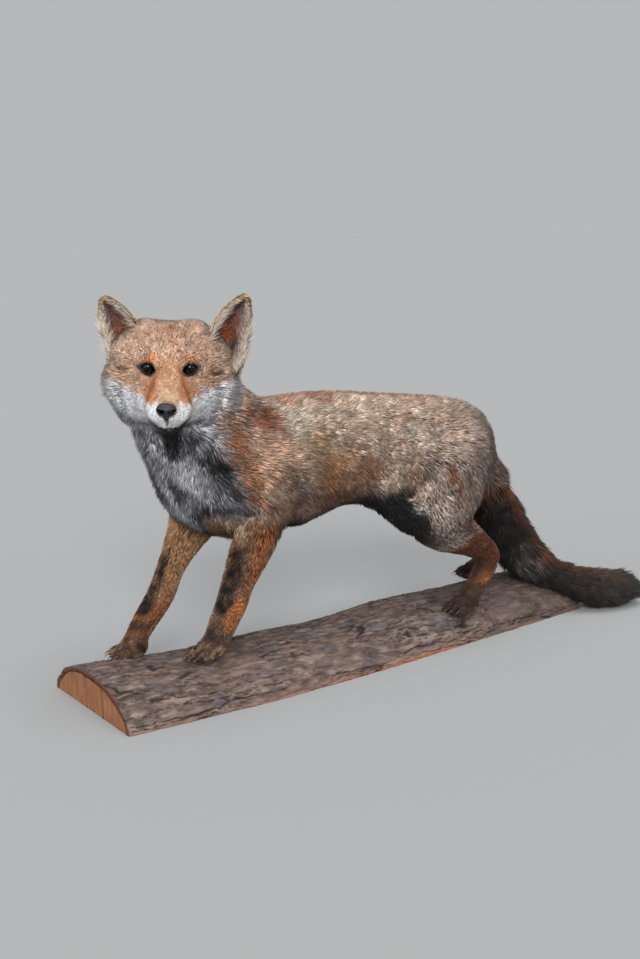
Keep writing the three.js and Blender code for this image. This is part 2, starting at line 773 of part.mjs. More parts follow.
// Legs, cut free of the trunk and then into lengths.
const legSpaces = Object.entries(LEG_TOPS).map(([leg, planes]) => {
  const space = overlapOf(planes.map(behind));
  const isLeft = leg.endsWith('left');
  const isFront = leg.startsWith('fore');
  const low = [isLeft ? 10 : -120, isFront ? -380 : 20, 10];
  const high = [isLeft ? 130 : -10, isFront ? -80 : 385, isFront ? 260 : 320];
  const { names, cuts } = LEG_LENGTHS[leg];
  [isFront ? CELL.limb : CELL.thigh, CELL.limb, CELL.paw].forEach((cell, i) => {
    const start = i > 0 ? [ahead(cuts[i - 1])] : [];
    const end = i < cuts.length ? [behind(cuts[i])] : [];
    const whole = overlapOf([bodyWithin(low, high, cell), space, ...start, ...end]);
    const color = i === 2 ? COLOUR.sock : COLOUR.rust;
    addPiece(names[i], whole.subtract(slabClearance).subtract(tailClearance), color);
  });
  return overlapOf(planes.map((plane) => behind(moved(plane, GAP))));
});

// Trunk: from the shoulders to the rump, without the legs.
const trunkNet = bodyWithin([-110, -320, 120], [110, 320, 420], CELL.trunk);
const trunkSolid = legSpaces
  .reduce((solid, space) => solid.subtract(space), trunkNet)
  .subtract(tailClearance);
addPiece('chest', overlapOf([trunkSolid, behind(SHOULDERS), ahead(RIBS)]), COLOUR.back);
addPiece('barrel', overlapOf([trunkSolid, behind(RIBS), ahead(LOIN)]), COLOUR.back);
addPiece('hindquarters', overlapOf([trunkSolid, behind(LOIN)]), COLOUR.back);
const neckNet = bodyWithin([-110, -340, 220], [110, -90, 520], CELL.neck);
addPiece('neck', overlapOf([neckNet, ahead(SHOULDERS), behind(NAPE)]), COLOUR.ruff);

// Head: skull with the ruff, muzzle and lower jaw, round the eyes and the nose.
const eyes = [1, -1].map((side) => {
  const ellipsoid = (radii, place) => {
    const axes = [[1, 0, 0], [0, 1, 0], [0, 0, 1]].map((axis) => new THREE.Vector3(...headFrame.turn(axis)));
    const turn = new THREE.Matrix4().makeBasis(...axes).setPosition(...place);
    return solidOf(new THREE.SphereGeometry(1, 9, 6).scale(...radii).applyMatrix4(turn));
  };
  const ball = (radius) => ellipsoid([radius, radius, radius], headPlace(-EYE_DEPTH, side));
  const name = side > 0 ? 'eye_left' : 'eye_right';
  const socket = ball(EYE_RADIUS + 2 * GAP).add(ellipsoid(LIDS.radii, headPlace(LIDS.ahead, side)));
  return { name, solid: ball(EYE_RADIUS), socket };
});
const nose = noseForm();
const noseNet = (grow) => polygonise((p) => nose(p) - grow, [100, -360, 370], [150, -310, 430], CELL.nose);
const headNet = (grow, cell) =>
  polygonise((p) => body(p) - grow, [-70, -400, 300], [150, -130, 530], cell);
const headSpace = overlapOf([ahead(NAPE), ahead(SHOULDERS)]);
const faceSolid = overlapOf([headNet(0, CELL.face), headSpace, ahead(CHEEKS)]);
const faceCut = eyes
  .reduce((solid, eye) => solid.subtract(eye.socket), faceSolid)
  .subtract(noseNet(3 * GAP));
addPiece('lower_jaw', overlapOf([faceCut, behind(MOUTH), ahead(MOUTH_CORNER)]), COLOUR.ruff);
const jawClearance = overlapOf([behind(moved(MOUTH, GAP)), ahead(moved(MOUTH_CORNER, -GAP))]);
const upperFace = faceCut.subtract(jawClearance);
addPiece('muzzle', upperFace.intersect(ahead(STOP)), COLOUR.face);
addPiece('face', upperFace.intersect(behind(STOP)), COLOUR.face);
addPiece('head', overlapOf([headNet(0, CELL.crown), headSpace, behind(CHEEKS)]), COLOUR.face);
addPiece('nose', noseNet(0), COLOUR.nose, 0.45);
for (const { name, solid } of eyes) addPiece(name, solid, COLOUR.eye, 0.05);
for (const [name, ear] of Object.entries(EARS)) {
  addPiece(name, earSolid(ear).subtract(headNet(6 * GAP, CELL.crown)), COLOUR.ear);
}

export default fox;
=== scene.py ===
"""Looks for a taxidermy red fox on a half-log slab.

Shapes are worked out in millimetres, in the part's own frame: +Z up, the fox faces -Y and
+X is its left side. The skin is the outline of the coat drawn in by the coat's depth, and
the coat is made of small solid locks of hair that lie over the skin.
"""
import math

import bpy
import numpy as np
from mathutils import Matrix, Vector


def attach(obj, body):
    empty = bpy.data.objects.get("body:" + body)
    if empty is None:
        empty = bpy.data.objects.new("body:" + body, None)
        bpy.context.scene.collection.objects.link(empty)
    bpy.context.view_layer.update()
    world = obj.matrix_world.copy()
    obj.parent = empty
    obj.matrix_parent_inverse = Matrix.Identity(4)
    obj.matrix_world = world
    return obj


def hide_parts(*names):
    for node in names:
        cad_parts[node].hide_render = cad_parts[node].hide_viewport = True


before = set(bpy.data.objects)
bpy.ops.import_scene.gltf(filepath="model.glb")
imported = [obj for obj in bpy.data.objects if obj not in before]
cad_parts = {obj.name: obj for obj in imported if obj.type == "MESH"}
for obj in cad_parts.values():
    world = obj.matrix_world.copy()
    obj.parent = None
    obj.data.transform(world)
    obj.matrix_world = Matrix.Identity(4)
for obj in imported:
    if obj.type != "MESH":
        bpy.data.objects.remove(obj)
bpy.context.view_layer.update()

# ---- camera and light

CAMERA_AT = Vector((1.515, -1.0315, 0.62))
CAMERA_HEADING = math.radians(33.5)  # from -X towards +Y
CAMERA_DOWN = math.radians(11.3)
CAMERA_ROLL = 0.038
CAMERA_LENS = 48.8
UP = Vector((0, 0, 1))
FLOOR_REACH = 40.0


def add_object(name, data):
    thing = bpy.data.objects.new(name, data)
    bpy.context.scene.collection.objects.link(thing)
    return thing


def make_camera():
    """The photograph's own view: its place, heading, tilt, roll and lens."""
    level = Vector((-math.cos(CAMERA_HEADING), math.sin(CAMERA_HEADING), 0))
    forward = (level * math.cos(CAMERA_DOWN) - UP * math.sin(CAMERA_DOWN)).normalized()
    right = forward.cross(UP).normalized()
    above = right.cross(forward)
    c, s = math.cos(CAMERA_ROLL), math.sin(CAMERA_ROLL)
    axes = Matrix((right * c - above * s, above * c + right * s, -forward)).transposed()
    data = bpy.data.cameras.new("camera")
    data.lens = CAMERA_LENS
    data.sensor_width = 36.0
    data.clip_start = 0.05
    data.clip_end = 60.0
    camera = add_object("camera", data)
    camera.matrix_world = Matrix.Translation(CAMERA_AT) @ axes.to_4x4()
    bpy.context.scene.camera = camera


def add_light(name, at, target, softness, strength, colour=(1, 1, 1)):
    """A wide far lamp, shining from one place towards another, soft by its angle in degrees."""
    data = bpy.data.lights.new(name, "SUN")
    data.angle = math.radians(softness)
    data.energy = strength
    data.color = colour
    light = add_object(name, data)
    light.location = at
    light.rotation_euler = (Vector(target) - Vector(at)).to_track_quat("-Z", "Y").to_euler()


def make_studio():
    """A grey room: soft lamps, an even background and a plain floor that matches it."""
    world = bpy.data.worlds.new("studio")
    bpy.context.scene.world = world
    world.use_nodes = True
    background = world.node_tree.nodes["Background"]
    background.inputs["Color"].default_value = (0.80, 0.82, 0.83, 1)
    background.inputs["Strength"].default_value = 0.58
    add_light("key", (2.5, -1.5, 1.75), (0, -0.05, 0.28), 22, 2.7, (1.0, 0.985, 0.96))
    add_light("front", (0.5, -2.8, 1.3), (0, -0.05, 0.3), 40, 1.0)
    add_light("fill", (2.6, 1.1, 1.2), (0, 0.15, 0.25), 40, 0.5, (0.95, 0.975, 1.0))
    add_light("top", (0.4, 0.1, 2.7), (0, 0, 0.3), 44, 1.8)
    bpy.context.scene.view_settings.view_transform = "Standard"
    r = FLOOR_REACH
    mesh = bpy.data.meshes.new("floor")
    mesh.from_pydata([(-r, -r, 0), (r, -r, 0), (r, r, 0), (-r, r, 0)], [], [(0, 1, 2, 3)])
    plain = Nodes("floor_plain")
    plain.set(Base_Color=(0.30, 0.303, 0.307), Roughness=0.9, Specular_IOR_Level=0.0)
    mesh.materials.append(plain.material)
    add_object("floor", mesh)


# ---- node helpers

class Nodes:
    """A short way to write a material's node tree."""

    def __init__(self, name):
        self.material = bpy.data.materials.new(name)
        self.material.use_nodes = True
        self.tree = self.material.node_tree
        self.shader = self.tree.nodes["Principled BSDF"]

    def add(self, kind, links=None, **settings):
        node = self.tree.nodes.new(kind)
        for key, value in settings.items():
            setattr(node, key, value)
        for key, value in (links or {}).items():
            self.put(node.inputs[key], value)
        return node

    def put(self, socket, value):
        if isinstance(value, bpy.types.NodeSocket):
            self.tree.links.new(value, socket)
        elif isinstance(value, tuple) and socket.type == "RGBA":
            socket.default_value = (*value, 1.0)
        else:
            socket.default_value = value

    def set(self, **values):
        """Fills the shader's sockets; constants are put on the sockets themselves."""
        for key, value in values.items():
            self.put(self.shader.inputs[key.replace("_", " ")], value)

    def math(self, operation, *values):
        return self.add("ShaderNodeMath", dict(enumerate(values)), operation=operation).outputs[0]

    def mix(self, factor, a, b, blend="MIX"):
        links = {0: factor, 6: a, 7: b}
        return self.add("ShaderNodeMix", links, data_type="RGBA", blend_type=blend).outputs[2]

    def ramp(self, factor, *stops):
        """A run of greys, each at its place."""
        node = self.add("ShaderNodeValToRGB", {"Fac": factor})
        elements = node.color_ramp.elements
        while len(elements) < len(stops):
            elements.new(0.5)
        for element, (place, grey) in zip(elements, stops):
            element.position = place
            element.color = (grey, grey, grey, 1)
        return node.outputs["Color"]

    def noise(self, vector, scale, detail=3.0, roughness=0.5):
        links = {"Vector": vector, "Scale": scale, "Detail": detail, "Roughness": roughness}
        return self.add("ShaderNodeTexNoise", links).outputs["Fac"]

    def bump(self, height, strength, distance, over=None):
        links = {"Height": height, "Strength": strength, "Distance": distance}
        if over is not None:
            links["Normal"] = over
        return self.add("ShaderNodeBump", links).outputs["Normal"]

    def place(self, scale=(1, 1, 1)):
        where = self.add("ShaderNodeTexCoord").outputs["Object"]
        return self.add("ShaderNodeMapping", {"Vector": where, "Scale": scale}).outputs[0]

    def stored(self, name, output):
        return self.add("ShaderNodeAttribute", attribute_name=name).outputs[output]

    def grey(self, shade):
        return self.add("ShaderNodeCombineColor", dict.fromkeys(("Red", "Green", "Blue"), shade)).outputs[0]

    def tinted(self, tone):
        """The colours stored on the mesh, multiplied by a tone."""
        return self.mix(1.0, self.stored("Col", "Color"), tone, "MULTIPLY")


def srgb(r, g, b):
    """A colour given as 0 to 255 steps on a screen, as linear light."""
    c = np.array([r, g, b]) / 255.0
    return np.where(c <= 0.04045, c / 12.92, ((c + 0.055) / 1.055) ** 2.4)


# ---- number helpers

rng = np.random.default_rng(41)


def unit(v):
    """Arrows of length 1."""
    v = np.asarray(v, float)
    return v / np.maximum(np.linalg.norm(v, axis=-1, keepdims=True), 1e-9)


def step(low, high, x):
    """Rises smoothly from 0 at low to 1 at high; low may be the larger one."""
    t = np.clip((x - low) / (high - low), 0.0, 1.0)
    return t * t * (3 - 2 * t)


def hump(centre, width, x):
    """1 at the centre, falling smoothly to 0 at the width on each side."""
    return 1 - step(0, width, np.abs(x - centre))


def spot(P, centre, radii):
    """1 at a place and 0 beyond an ellipsoid round it."""
    r = np.sqrt((((P - centre) / radii) ** 2).sum(1))
    return 1 - step(0.45, 1.0, r)


def stripe(P, start, end, width):
    """1 along a straight line between two places, and 0 beyond the width round it."""
    start, run = np.array(start, float), np.array(end, float) - start
    t = np.clip((P - start) @ run / (run @ run), 0, 1)
    return step(width, 0.45 * width, np.linalg.norm(P - start - t[:, None] * run, axis=1))


def table(x, rows):
    """Values read off straight lines between rows of (place, value)."""
    xs, ys = zip(*rows)
    return np.interp(x, xs, ys)


LATTICE = 32
DICE = rng.random((3, LATTICE, LATTICE, LATTICE)) * 2 - 1


def wander(P, size, which=0):
    """Smooth random values from about -1 to 1 that change over the given distance."""
    q = P / size + 100.0
    base = np.floor(q).astype(int)
    t = q - base
    t = t * t * (3 - 2 * t)
    total = 0.0
    for corner in range(8):
        bits = np.array([corner & 1, (corner >> 1) & 1, corner >> 2])
        at = (base + bits) % LATTICE
        weight = np.prod(np.where(bits, t, 1 - t), axis=1)
        total = total + weight * DICE[which][at[:, 0], at[:, 1], at[:, 2]]
    return total * 1.6


def wander3(P, size):
    return np.stack([wander(P, size, i) for i in range(3)], 1)


def between(a, b, share):
    """Row by row, a where the share is 0 and b where it is 1."""
    share = share[:, None]
    return a * (1 - share) + b * share


def along(rows, count):
    """Rows of numbers resampled on a smooth curve, count steps for each row."""
    rows = np.asarray(rows, float)
    last = len(rows) - 1
    out = []
    for n in range(last * count + 1):
        i = min(n // count, last - 1)
        t = n / count - i
        m0 = (rows[i + 1] - rows[max(i - 1, 0)]) / (i + 1 - max(i - 1, 0))
        m1 = (rows[min(i + 2, last)] - rows[i]) / (min(i + 2, last) - i)
        a, b = rows[i], rows[i + 1]
        rise = b - a
        out.append(a + t * (m0 + t * (3 * rise - 2 * m0 - m1 + t * (m0 + m1 - 2 * rise))))
    return np.array(out)


# ---- rounded forms
# A form takes an array of points and gives, for each, about how far outside it is.


def taper(a, b):
    """A tapered limb between two balls, given as [x, y, z, radius]."""
    a, b = np.asarray(a, float), np.asarray(b, float)
    axis = b[:3] - a[:3]
    length2 = axis @ axis
    shrink = a[3] - b[3]
    side2 = length2 - shrink * shrink

    def form(P):
        q = P - a[:3]
        y = q @ axis
        z = y - length2
        x2 = np.maximum((q * q).sum(1) * length2 - y * y, 0.0) * length2
        y2 = y * y * length2
        z2 = z * z * length2
        k = np.sign(shrink) * shrink * shrink * x2
        out = (np.sqrt(x2 * side2 / length2) + y * shrink) / length2 - a[3]
        out = np.where(np.sign(y) * side2 * y2 < k, np.sqrt(x2 + y2) / length2 - a[3], out)
        return np.where(np.sign(z) * side2 * z2 > k, np.sqrt(x2 + z2) / length2 - b[3], out)
    return form


def oval(centre, radii):
    centre, radii = np.asarray(centre, float), np.asarray(radii, float)

    def form(P):
        q = (P - centre) / radii
        size = np.sqrt((q * q).sum(1))
        slope = np.sqrt(((q / radii) ** 2).sum(1)) + 1e-9
        return size * (size - 1) / slope
    return form


def pair_blend(width, a, b):
    h = np.maximum(width - np.abs(a - b), 0.0) / width
    return np.minimum(a, b) - h * h * width / 4


def blend(width, forms):
    """Forms joined with rounded inside corners, each join about as wide as the width."""
    def form(P):
        near = forms[0](P)
        for other in forms[1:]:
            near = pair_blend(width, near, other(P))
        return near
    return form


def near_only(inner, P, outside, reach, beyond):
    """A form worked out only within reach of it, and a rough distance everywhere else."""
    near = outside < reach
    out = outside + beyond
    out[near] = inner(P[near])
    return out


def limb(rows, count=3):
    """A limb that bends smoothly through rows of [x, y, z, radius]."""
    balls = along(rows, count)
    inner = blend(3, [taper(a, b) for a, b in zip(balls[:-1], balls[1:])])
    low = (balls[:, :3] - balls[:, 3:]).min(0)
    high = (balls[:, :3] + balls[:, 3:]).max(0)

    def form(P):
        outside = np.maximum(np.maximum(low - P, P - high), 0.0).max(1)
        return near_only(inner, P, outside, 45, 1.0)
    return form


# ---- the head's own axes

EYE_MIDPOINT = np.array([70.3, -293.8, 445.0])
HEAD_YAW, HEAD_PITCH, HEAD_ROLL = (math.radians(v) for v in (61, 8.5, 3.5))


def head_axes():
    forward = np.array([math.sin(HEAD_YAW) * math.cos(HEAD_PITCH),
                        -math.cos(HEAD_YAW) * math.cos(HEAD_PITCH), -math.sin(HEAD_PITCH)])
    left = unit(np.cross([0, 0, 1.0], forward))
    up = np.cross(forward, left)
    left = left * math.cos(HEAD_ROLL) - up * math.sin(HEAD_ROLL)
    return np.array([forward, left, np.cross(forward, left)])


HEAD = head_axes()


def in_head(P):
    return (P - EYE_MIDPOINT) @ HEAD.T


def from_head(H):
    return np.asarray(H, float) @ HEAD + EYE_MIDPOINT


def head_turn(v):
    return np.asarray(v, float) @ HEAD


# ---- the outline of the coat

TRUNK_SLIMNESS = 0.84
TRUNK = [[-165, 289, 92], [-95, 291, 94], [-15, 299, 84], [65, 291, 81],
         [135, 283, 79], [180, 279, 76], [213, 276, 71]]

FORELEG = {
    "left": [[46, -130, 290, 48], [50, -157, 236, 35], [49, -171, 200, 31], [46, -196, 150, 22.5],
             [45, -208, 120, 21], [44, -222, 95, 19], [42, -233, 72, 17]],
    "right": [[-46, -165, 284, 50], [-50, -195, 236, 40], [-53, -222, 195, 27],
              [-54, -245, 158, 19.5], [-53, -264, 122, 19], [-51, -290, 91, 17],
              [-49, -308, 70, 15]],
}

HINDLEG = {
    "left": [[34, 190, 268, 60], [44, 166, 222, 55], [58, 138, 180, 42], [66, 190, 144, 25],
             [70, 224, 115, 17.5], [73, 206, 88, 16], [77, 182, 64, 15.5]],
    "right": [[-34, 200, 266, 58], [-44, 206, 222, 54], [-54, 212, 180, 38], [-54, 284, 146, 24],
              [-52, 342, 116, 17], [-50, 330, 88, 15.5], [-47, 312, 66, 15]],
}

FLANK_FOLD = {
    "left": [[30, 52, 236, 29], [50, 90, 190, 23]],
    "right": [[-32, 100, 244, 28], [-48, 150, 200, 24]],
}

# middle of each foot's pad, and its heading in degrees from -Y to +X
PAWS = {
    "front_left": ([38, -246, 47], 6),
    "front_right": ([-45, -320, 43], -4),
    "hind_left": ([79, 163, 38], 8),
    "hind_right": ([-46, 293, 43], -4),
}
PAW_LENGTH, PAW_WIDTH, PAW_HEIGHT = 62, 44, 28
TOES = (-1.5, -0.5, 0.5, 1.5)
TOE_SPACING = 0.23  # as a share of the paw's width
PAW_REACH = 45

TAIL = [[0, 244, 256, 34], [2, 280, 216, 33], [6, 299, 172, 35], [12, 315, 128, 38],
        [22, 331, 94, 37], [48, 353, 68, 28], [74, 383, 50, 25], [98, 417, 35, 31],
        [112, 450, 31, 27], [124, 485, 25, 9]]


def trunk_form():
    barrel = limb([[0, y, z, r] for y, z, r in TRUNK])
    return lambda P: barrel(P / np.array([TRUNK_SLIMNESS, 1, 1]))


def paw_axes(paw):
    """A paw's place, and its own forward, sideways and upward axes."""
    at, heading = PAWS[paw]
    turn = math.radians(heading)
    axes = np.array([[math.sin(turn), -math.cos(turn), 0], [math.cos(turn), math.sin(turn), 0],
                     [0, 0, 1]])
    return np.array(at, float), axes


def in_paw(P, paw):
    at, axes = paw_axes(paw)
    return (P - at) @ axes.T


def toe_place(toe):
    """Middle of a toe in its paw's own axes."""
    return [PAW_LENGTH * (0.26 - 0.05 * abs(toe)), PAW_WIDTH * TOE_SPACING * toe, PAW_HEIGHT * 0.33]


def paw_form(paw):
    pad = oval([-4, 0, PAW_HEIGHT * 0.5], [PAW_LENGTH * 0.36, PAW_WIDTH * 0.4, PAW_HEIGHT * 0.56])
    size = [PAW_LENGTH * 0.23, PAW_WIDTH * 0.15, PAW_HEIGHT * 0.36]
    inner = blend(3.5, [pad, *(oval(toe_place(toe), size) for toe in TOES)])

    def form(P):
        q = in_paw(P, paw)
        return near_only(inner, q, np.abs(q - [0, 0, 14]).max(1) - PAW_REACH, 20, 20.0)
    return form


def head_form():
    sides = (1, -1)
    skull = oval([-56, 0, -2], [58, 56, 50])
    forehead = taper([-34, 0, 10, 37], [2, 0, -9, 21])
    bridge = taper([-4, 0, -15, 20], [66, 0, -33, 11.5])
    muzzle = taper([2, 0, -34, 28], [57, 0, -42, 15])
    jaw = taper([58, 0, -56, 8.5], [0, 0, -60, 20])
    lips = [oval([46, 12 * s, -42], [23, 14, 12]) for s in sides]
    brows = [taper([-8, 22 * s, 11, 8], [-32, 40 * s, 10, 14]) for s in sides]
    pads = [taper([22, 12 * s, -42, 14], [-20, 34 * s, -46, 24]) for s in sides]
    cheeks = [taper([-2, 18 * s, -28, 15], [-44, 44 * s, -24, 33]) for s in sides]
    ruff = [oval([-60, 50 * s, -33], [30, 36, 37]) for s in sides]
    jowls = [oval([-54, 32 * s, -62], [36, 35, 32]) for s in sides]
    throat = taper([20, 0, -58, 14], [-40, 0, -70, 34])
    ear_roots = [taper([-58, 34 * s, 30, 19], [-64, 60 * s, 6, 18]) for s in sides]
    middle = blend(14, [skull, forehead, bridge, muzzle, throat])
    face = blend(9, [middle, jaw, *lips, *brows])
    inner = blend(24, [face, *pads, *cheeks, *ruff, *jowls, *ear_roots])

    def form(P):
        H = in_head(P)
        return near_only(inner, H, np.linalg.norm(H - [-25, 0, -20], axis=1) - 125, 30, 30.0)
    return form


BODY_JOIN, FOOT_JOIN, TAIL_JOIN = 24, 10, 14

tail_form = limb(TAIL)
bib = oval([-7, -216, 298], [81, 64, 82])
neck = limb([[0, -170, 308, 82], [-7, -224, 364, 82], [-6, -246, 424, 66]])
legs = [limb(rows[side]) for side in ("left", "right") for rows in (FORELEG, HINDLEG, FLANK_FOLD)]
head_part = head_form()
paw_parts = [paw_form(paw) for paw in PAWS]
torso = blend(BODY_JOIN, [trunk_form(), blend(30, [bib, neck]), *legs, limb(TAIL[:2])])
outline = blend(FOOT_JOIN, [blend(BODY_JOIN, [torso, head_part]), *paw_parts, tail_form])


# ---- depth of the coat, and the skin

def tail_depth(P):
    return table(P[:, 1], [(244, 15), (290, 18), (330, 20), (380, 14), (440, 16), (470, 9), (490, 4)])


def body_depth(P):
    """Depth of the coat, by place along the body and by height on the legs."""
    long_hair = table(P[:, 1], [(-330, 21), (-230, 21), (-120, 16), (0, 13), (140, 13), (200, 15), (260, 17)])
    legs_hair = table(P[:, 2], [(40, 2), (70, 2.4), (110, 3.2), (150, 4.4), (185, 8), (215, 13), (260, 21)])
    return np.minimum(long_hair, legs_hair)


def head_depth(H):
    """Depth of the coat in the head's axes, deeper on the ruff and throat."""
    f, l, u = H[:, 0], np.abs(H[:, 1]), H[:, 2]
    short = table(f, [(-110, 14), (-80, 10), (-50, 6.5), (-20, 4.6), (5, 3.4), (20, 2.4), (60, 1.8)])
    ruff = step(36, 60, l) * step(12, -18, u) * step(8, -28, f) * 10
    throat = step(-60, -84, u) * step(46, 8, f) * 13
    return short + np.maximum(ruff, throat)


EYE_RADIUS = 9.8
EYE_SIDE = 25.5
EYE_BACK = -7.4
EYE_SLANT = math.radians(9)
LID_HALF_WIDTH, LID_UPPER, LID_LOWER = 9.7, 7.2, 6.9


def lid_plane(H, side):
    """Places on an eye's opening: outwards along the slanted slit, and up across it."""
    a = (H[:, 1] * side - EYE_SIDE)
    b = H[:, 2]
    c, s = math.cos(EYE_SLANT), math.sin(EYE_SLANT)
    return a * c + b * s, b * c - a * s


def lid_edge(a, upper):
    """Half height of the opening at a place along it, pointed at both corners."""
    t = np.clip(a / LID_HALF_WIDTH, -1, 1)
    lean = 1 + 0.10 * t
    return np.where(upper, LID_UPPER, LID_LOWER) * lean * np.power(1 - np.abs(t) ** 2.3, 0.8)


def mouth_height(f):
    """Height of the line of the mouth at each place along the muzzle."""
    return table(f, [(2, -68), (30, -65), (45, -61), (60, -56), (75, -53.5)])


CREASES = [
    ([[-4, 36, 1], [-13, 47, -3], [-24, 60, -9], [-36, 72, -10]], 1.6),
    ([[-8, 40, -14], [-18, 53, -19], [-30, 64, -20]], 1.1),
]
TEAR_LINE = [[14, 14, 1], [21, 16, -7], [28, 18, -15], [34, 24, -27], [38, 27, -34]]


def line_distance(H, line, side):
    """Distance to a jointed line on one side of the face."""
    q = H * [1, side, 1]
    best = np.full(len(q), 1e3)
    for a, b in zip(np.array(line[:-1], float), np.array(line[1:], float)):
        t = np.clip(((q - a) @ (b - a)) / ((b - a) @ (b - a)), 0, 1)
        best = np.minimum(best, np.linalg.norm(q - a - t[:, None] * (b - a), axis=1))
    return best


def face_details(H, D):
    """Lids, folds and the line of the mouth, worked into the skin of the face."""
    for side in (1, -1):
        lid = np.linalg.norm(H - [EYE_BACK, EYE_SIDE * side, 0], axis=1) - (EYE_RADIUS + 1.5)
        D = pair_blend(5, D, lid)
        a, b = lid_plane(H, side)
        gap = np.maximum(np.where(b > 0, b, -b) - lid_edge(a, b > 0), np.abs(a) - LID_HALF_WIDTH)
        D = np.maximum(D, -np.maximum(gap, -6 - H[:, 0]))
        for line, depth in CREASES:
            D = D + depth * hump(0, 4.5, line_distance(H, line, side))
        D = D + 1.0 * hump(0, 5, line_distance(H, TEAR_LINE, side))
        D = D - 1.4 * hump(0, 8, line_distance(H, [[-2, 16, 12], [-8, 30, 14], [-20, 40, 9]], side))
    f, u = H[:, 0], H[:, 2]
    slit = np.maximum(np.abs(u - mouth_height(f)) - 1.1, 36 - f)
    return np.maximum(D, -np.maximum(slit, -D - 3.5))


def skin_parts(P):
    """The skin's torso, head, paws and tail, the coat's depth, and the head's and paws' shares."""
    H = in_head(P)
    body, head = torso(P), head_part(P)
    paws = np.min([paw(P) for paw in paw_parts], axis=0)
    tail = tail_form(P) + tail_depth(P)
    share = step(-25, 25, body - head)
    depth = (1 - share) * body_depth(P) + share * head_depth(H)
    foot = step(-7, 7, np.minimum(body, head) - paws)
    depth = depth * (1 - foot) + 2.0 * foot
    return body, head, paws, tail, depth, share, foot


def skin_field(P):
    body, head, paws, tail, depth, _, _ = skin_parts(P)
    D = pair_blend(FOOT_JOIN, pair_blend(BODY_JOIN, body, head), paws) + depth
    H = in_head(P)
    face = (np.abs(H - [20, 0, -20]) < [75, 85, 60]).all(1)
    D[face] = face_details(H[face], D[face])
    return pair_blend(TAIL_JOIN, D, tail)


# ---- nets over fields

CORNERS = [(c & 1, (c >> 1) & 1, c >> 2) for c in range(8)]
EDGES = [(a, a | bit) for bit in (1, 2, 4) for a in range(8) if not a & bit]
BLOCK = 4
CHUNK = 150000
SLOPE_STEP = 0.4


def lattice_values(field, xs, ys, zs):
    """The field on a lattice, worked out only near its surface."""
    shape = (len(xs), len(ys), len(zs))
    value = np.empty(shape)
    need = np.zeros(shape, bool)
    cuts = [np.arange(0, n, BLOCK) for n in shape]
    ends = [np.minimum(c + BLOCK, n - 1) for c, n in zip(cuts, shape)]
    mids = [(v[c] + v[e]) / 2 for v, c, e in zip((xs, ys, zs), cuts, ends)]
    half = [(v[e] - v[c]) / 2 for v, c, e in zip((xs, ys, zs), cuts, ends)]
    M = np.stack(np.meshgrid(*mids, indexing="ij"), -1).reshape(-1, 3)
    R = np.linalg.norm(np.stack(np.meshgrid(*half, indexing="ij"), -1).reshape(-1, 3), axis=1)
    d = in_chunks(field, M)
    blocks = np.array([len(m) for m in mids])
    near = (np.abs(d) < R * 1.5 + 5).reshape(blocks)
    d = d.reshape(blocks)
    for i, j, k in np.ndindex(*blocks):
        part = tuple(slice(cuts[a][n], ends[a][n] + 1) for a, n in enumerate((i, j, k)))
        if near[i, j, k]:
            need[part] = True
        else:
            value[part] = d[i, j, k]
    at = np.argwhere(need)
    P = np.stack([xs[at[:, 0]], ys[at[:, 1]], zs[at[:, 2]]], 1)
    value[need] = in_chunks(field, P)
    return value


def in_chunks(field, P):
    return np.concatenate([field(P[i:i + CHUNK]) for i in range(0, len(P), CHUNK)])


def slope_of(field, P):
    """The way in which a field rises fastest, and how steeply."""
    rise = [in_chunks(field, P + offset) - in_chunks(field, P - offset) for offset in SLOPE_STEP * np.eye(3)]
    return np.stack(rise, 1) / (2 * SLOPE_STEP)


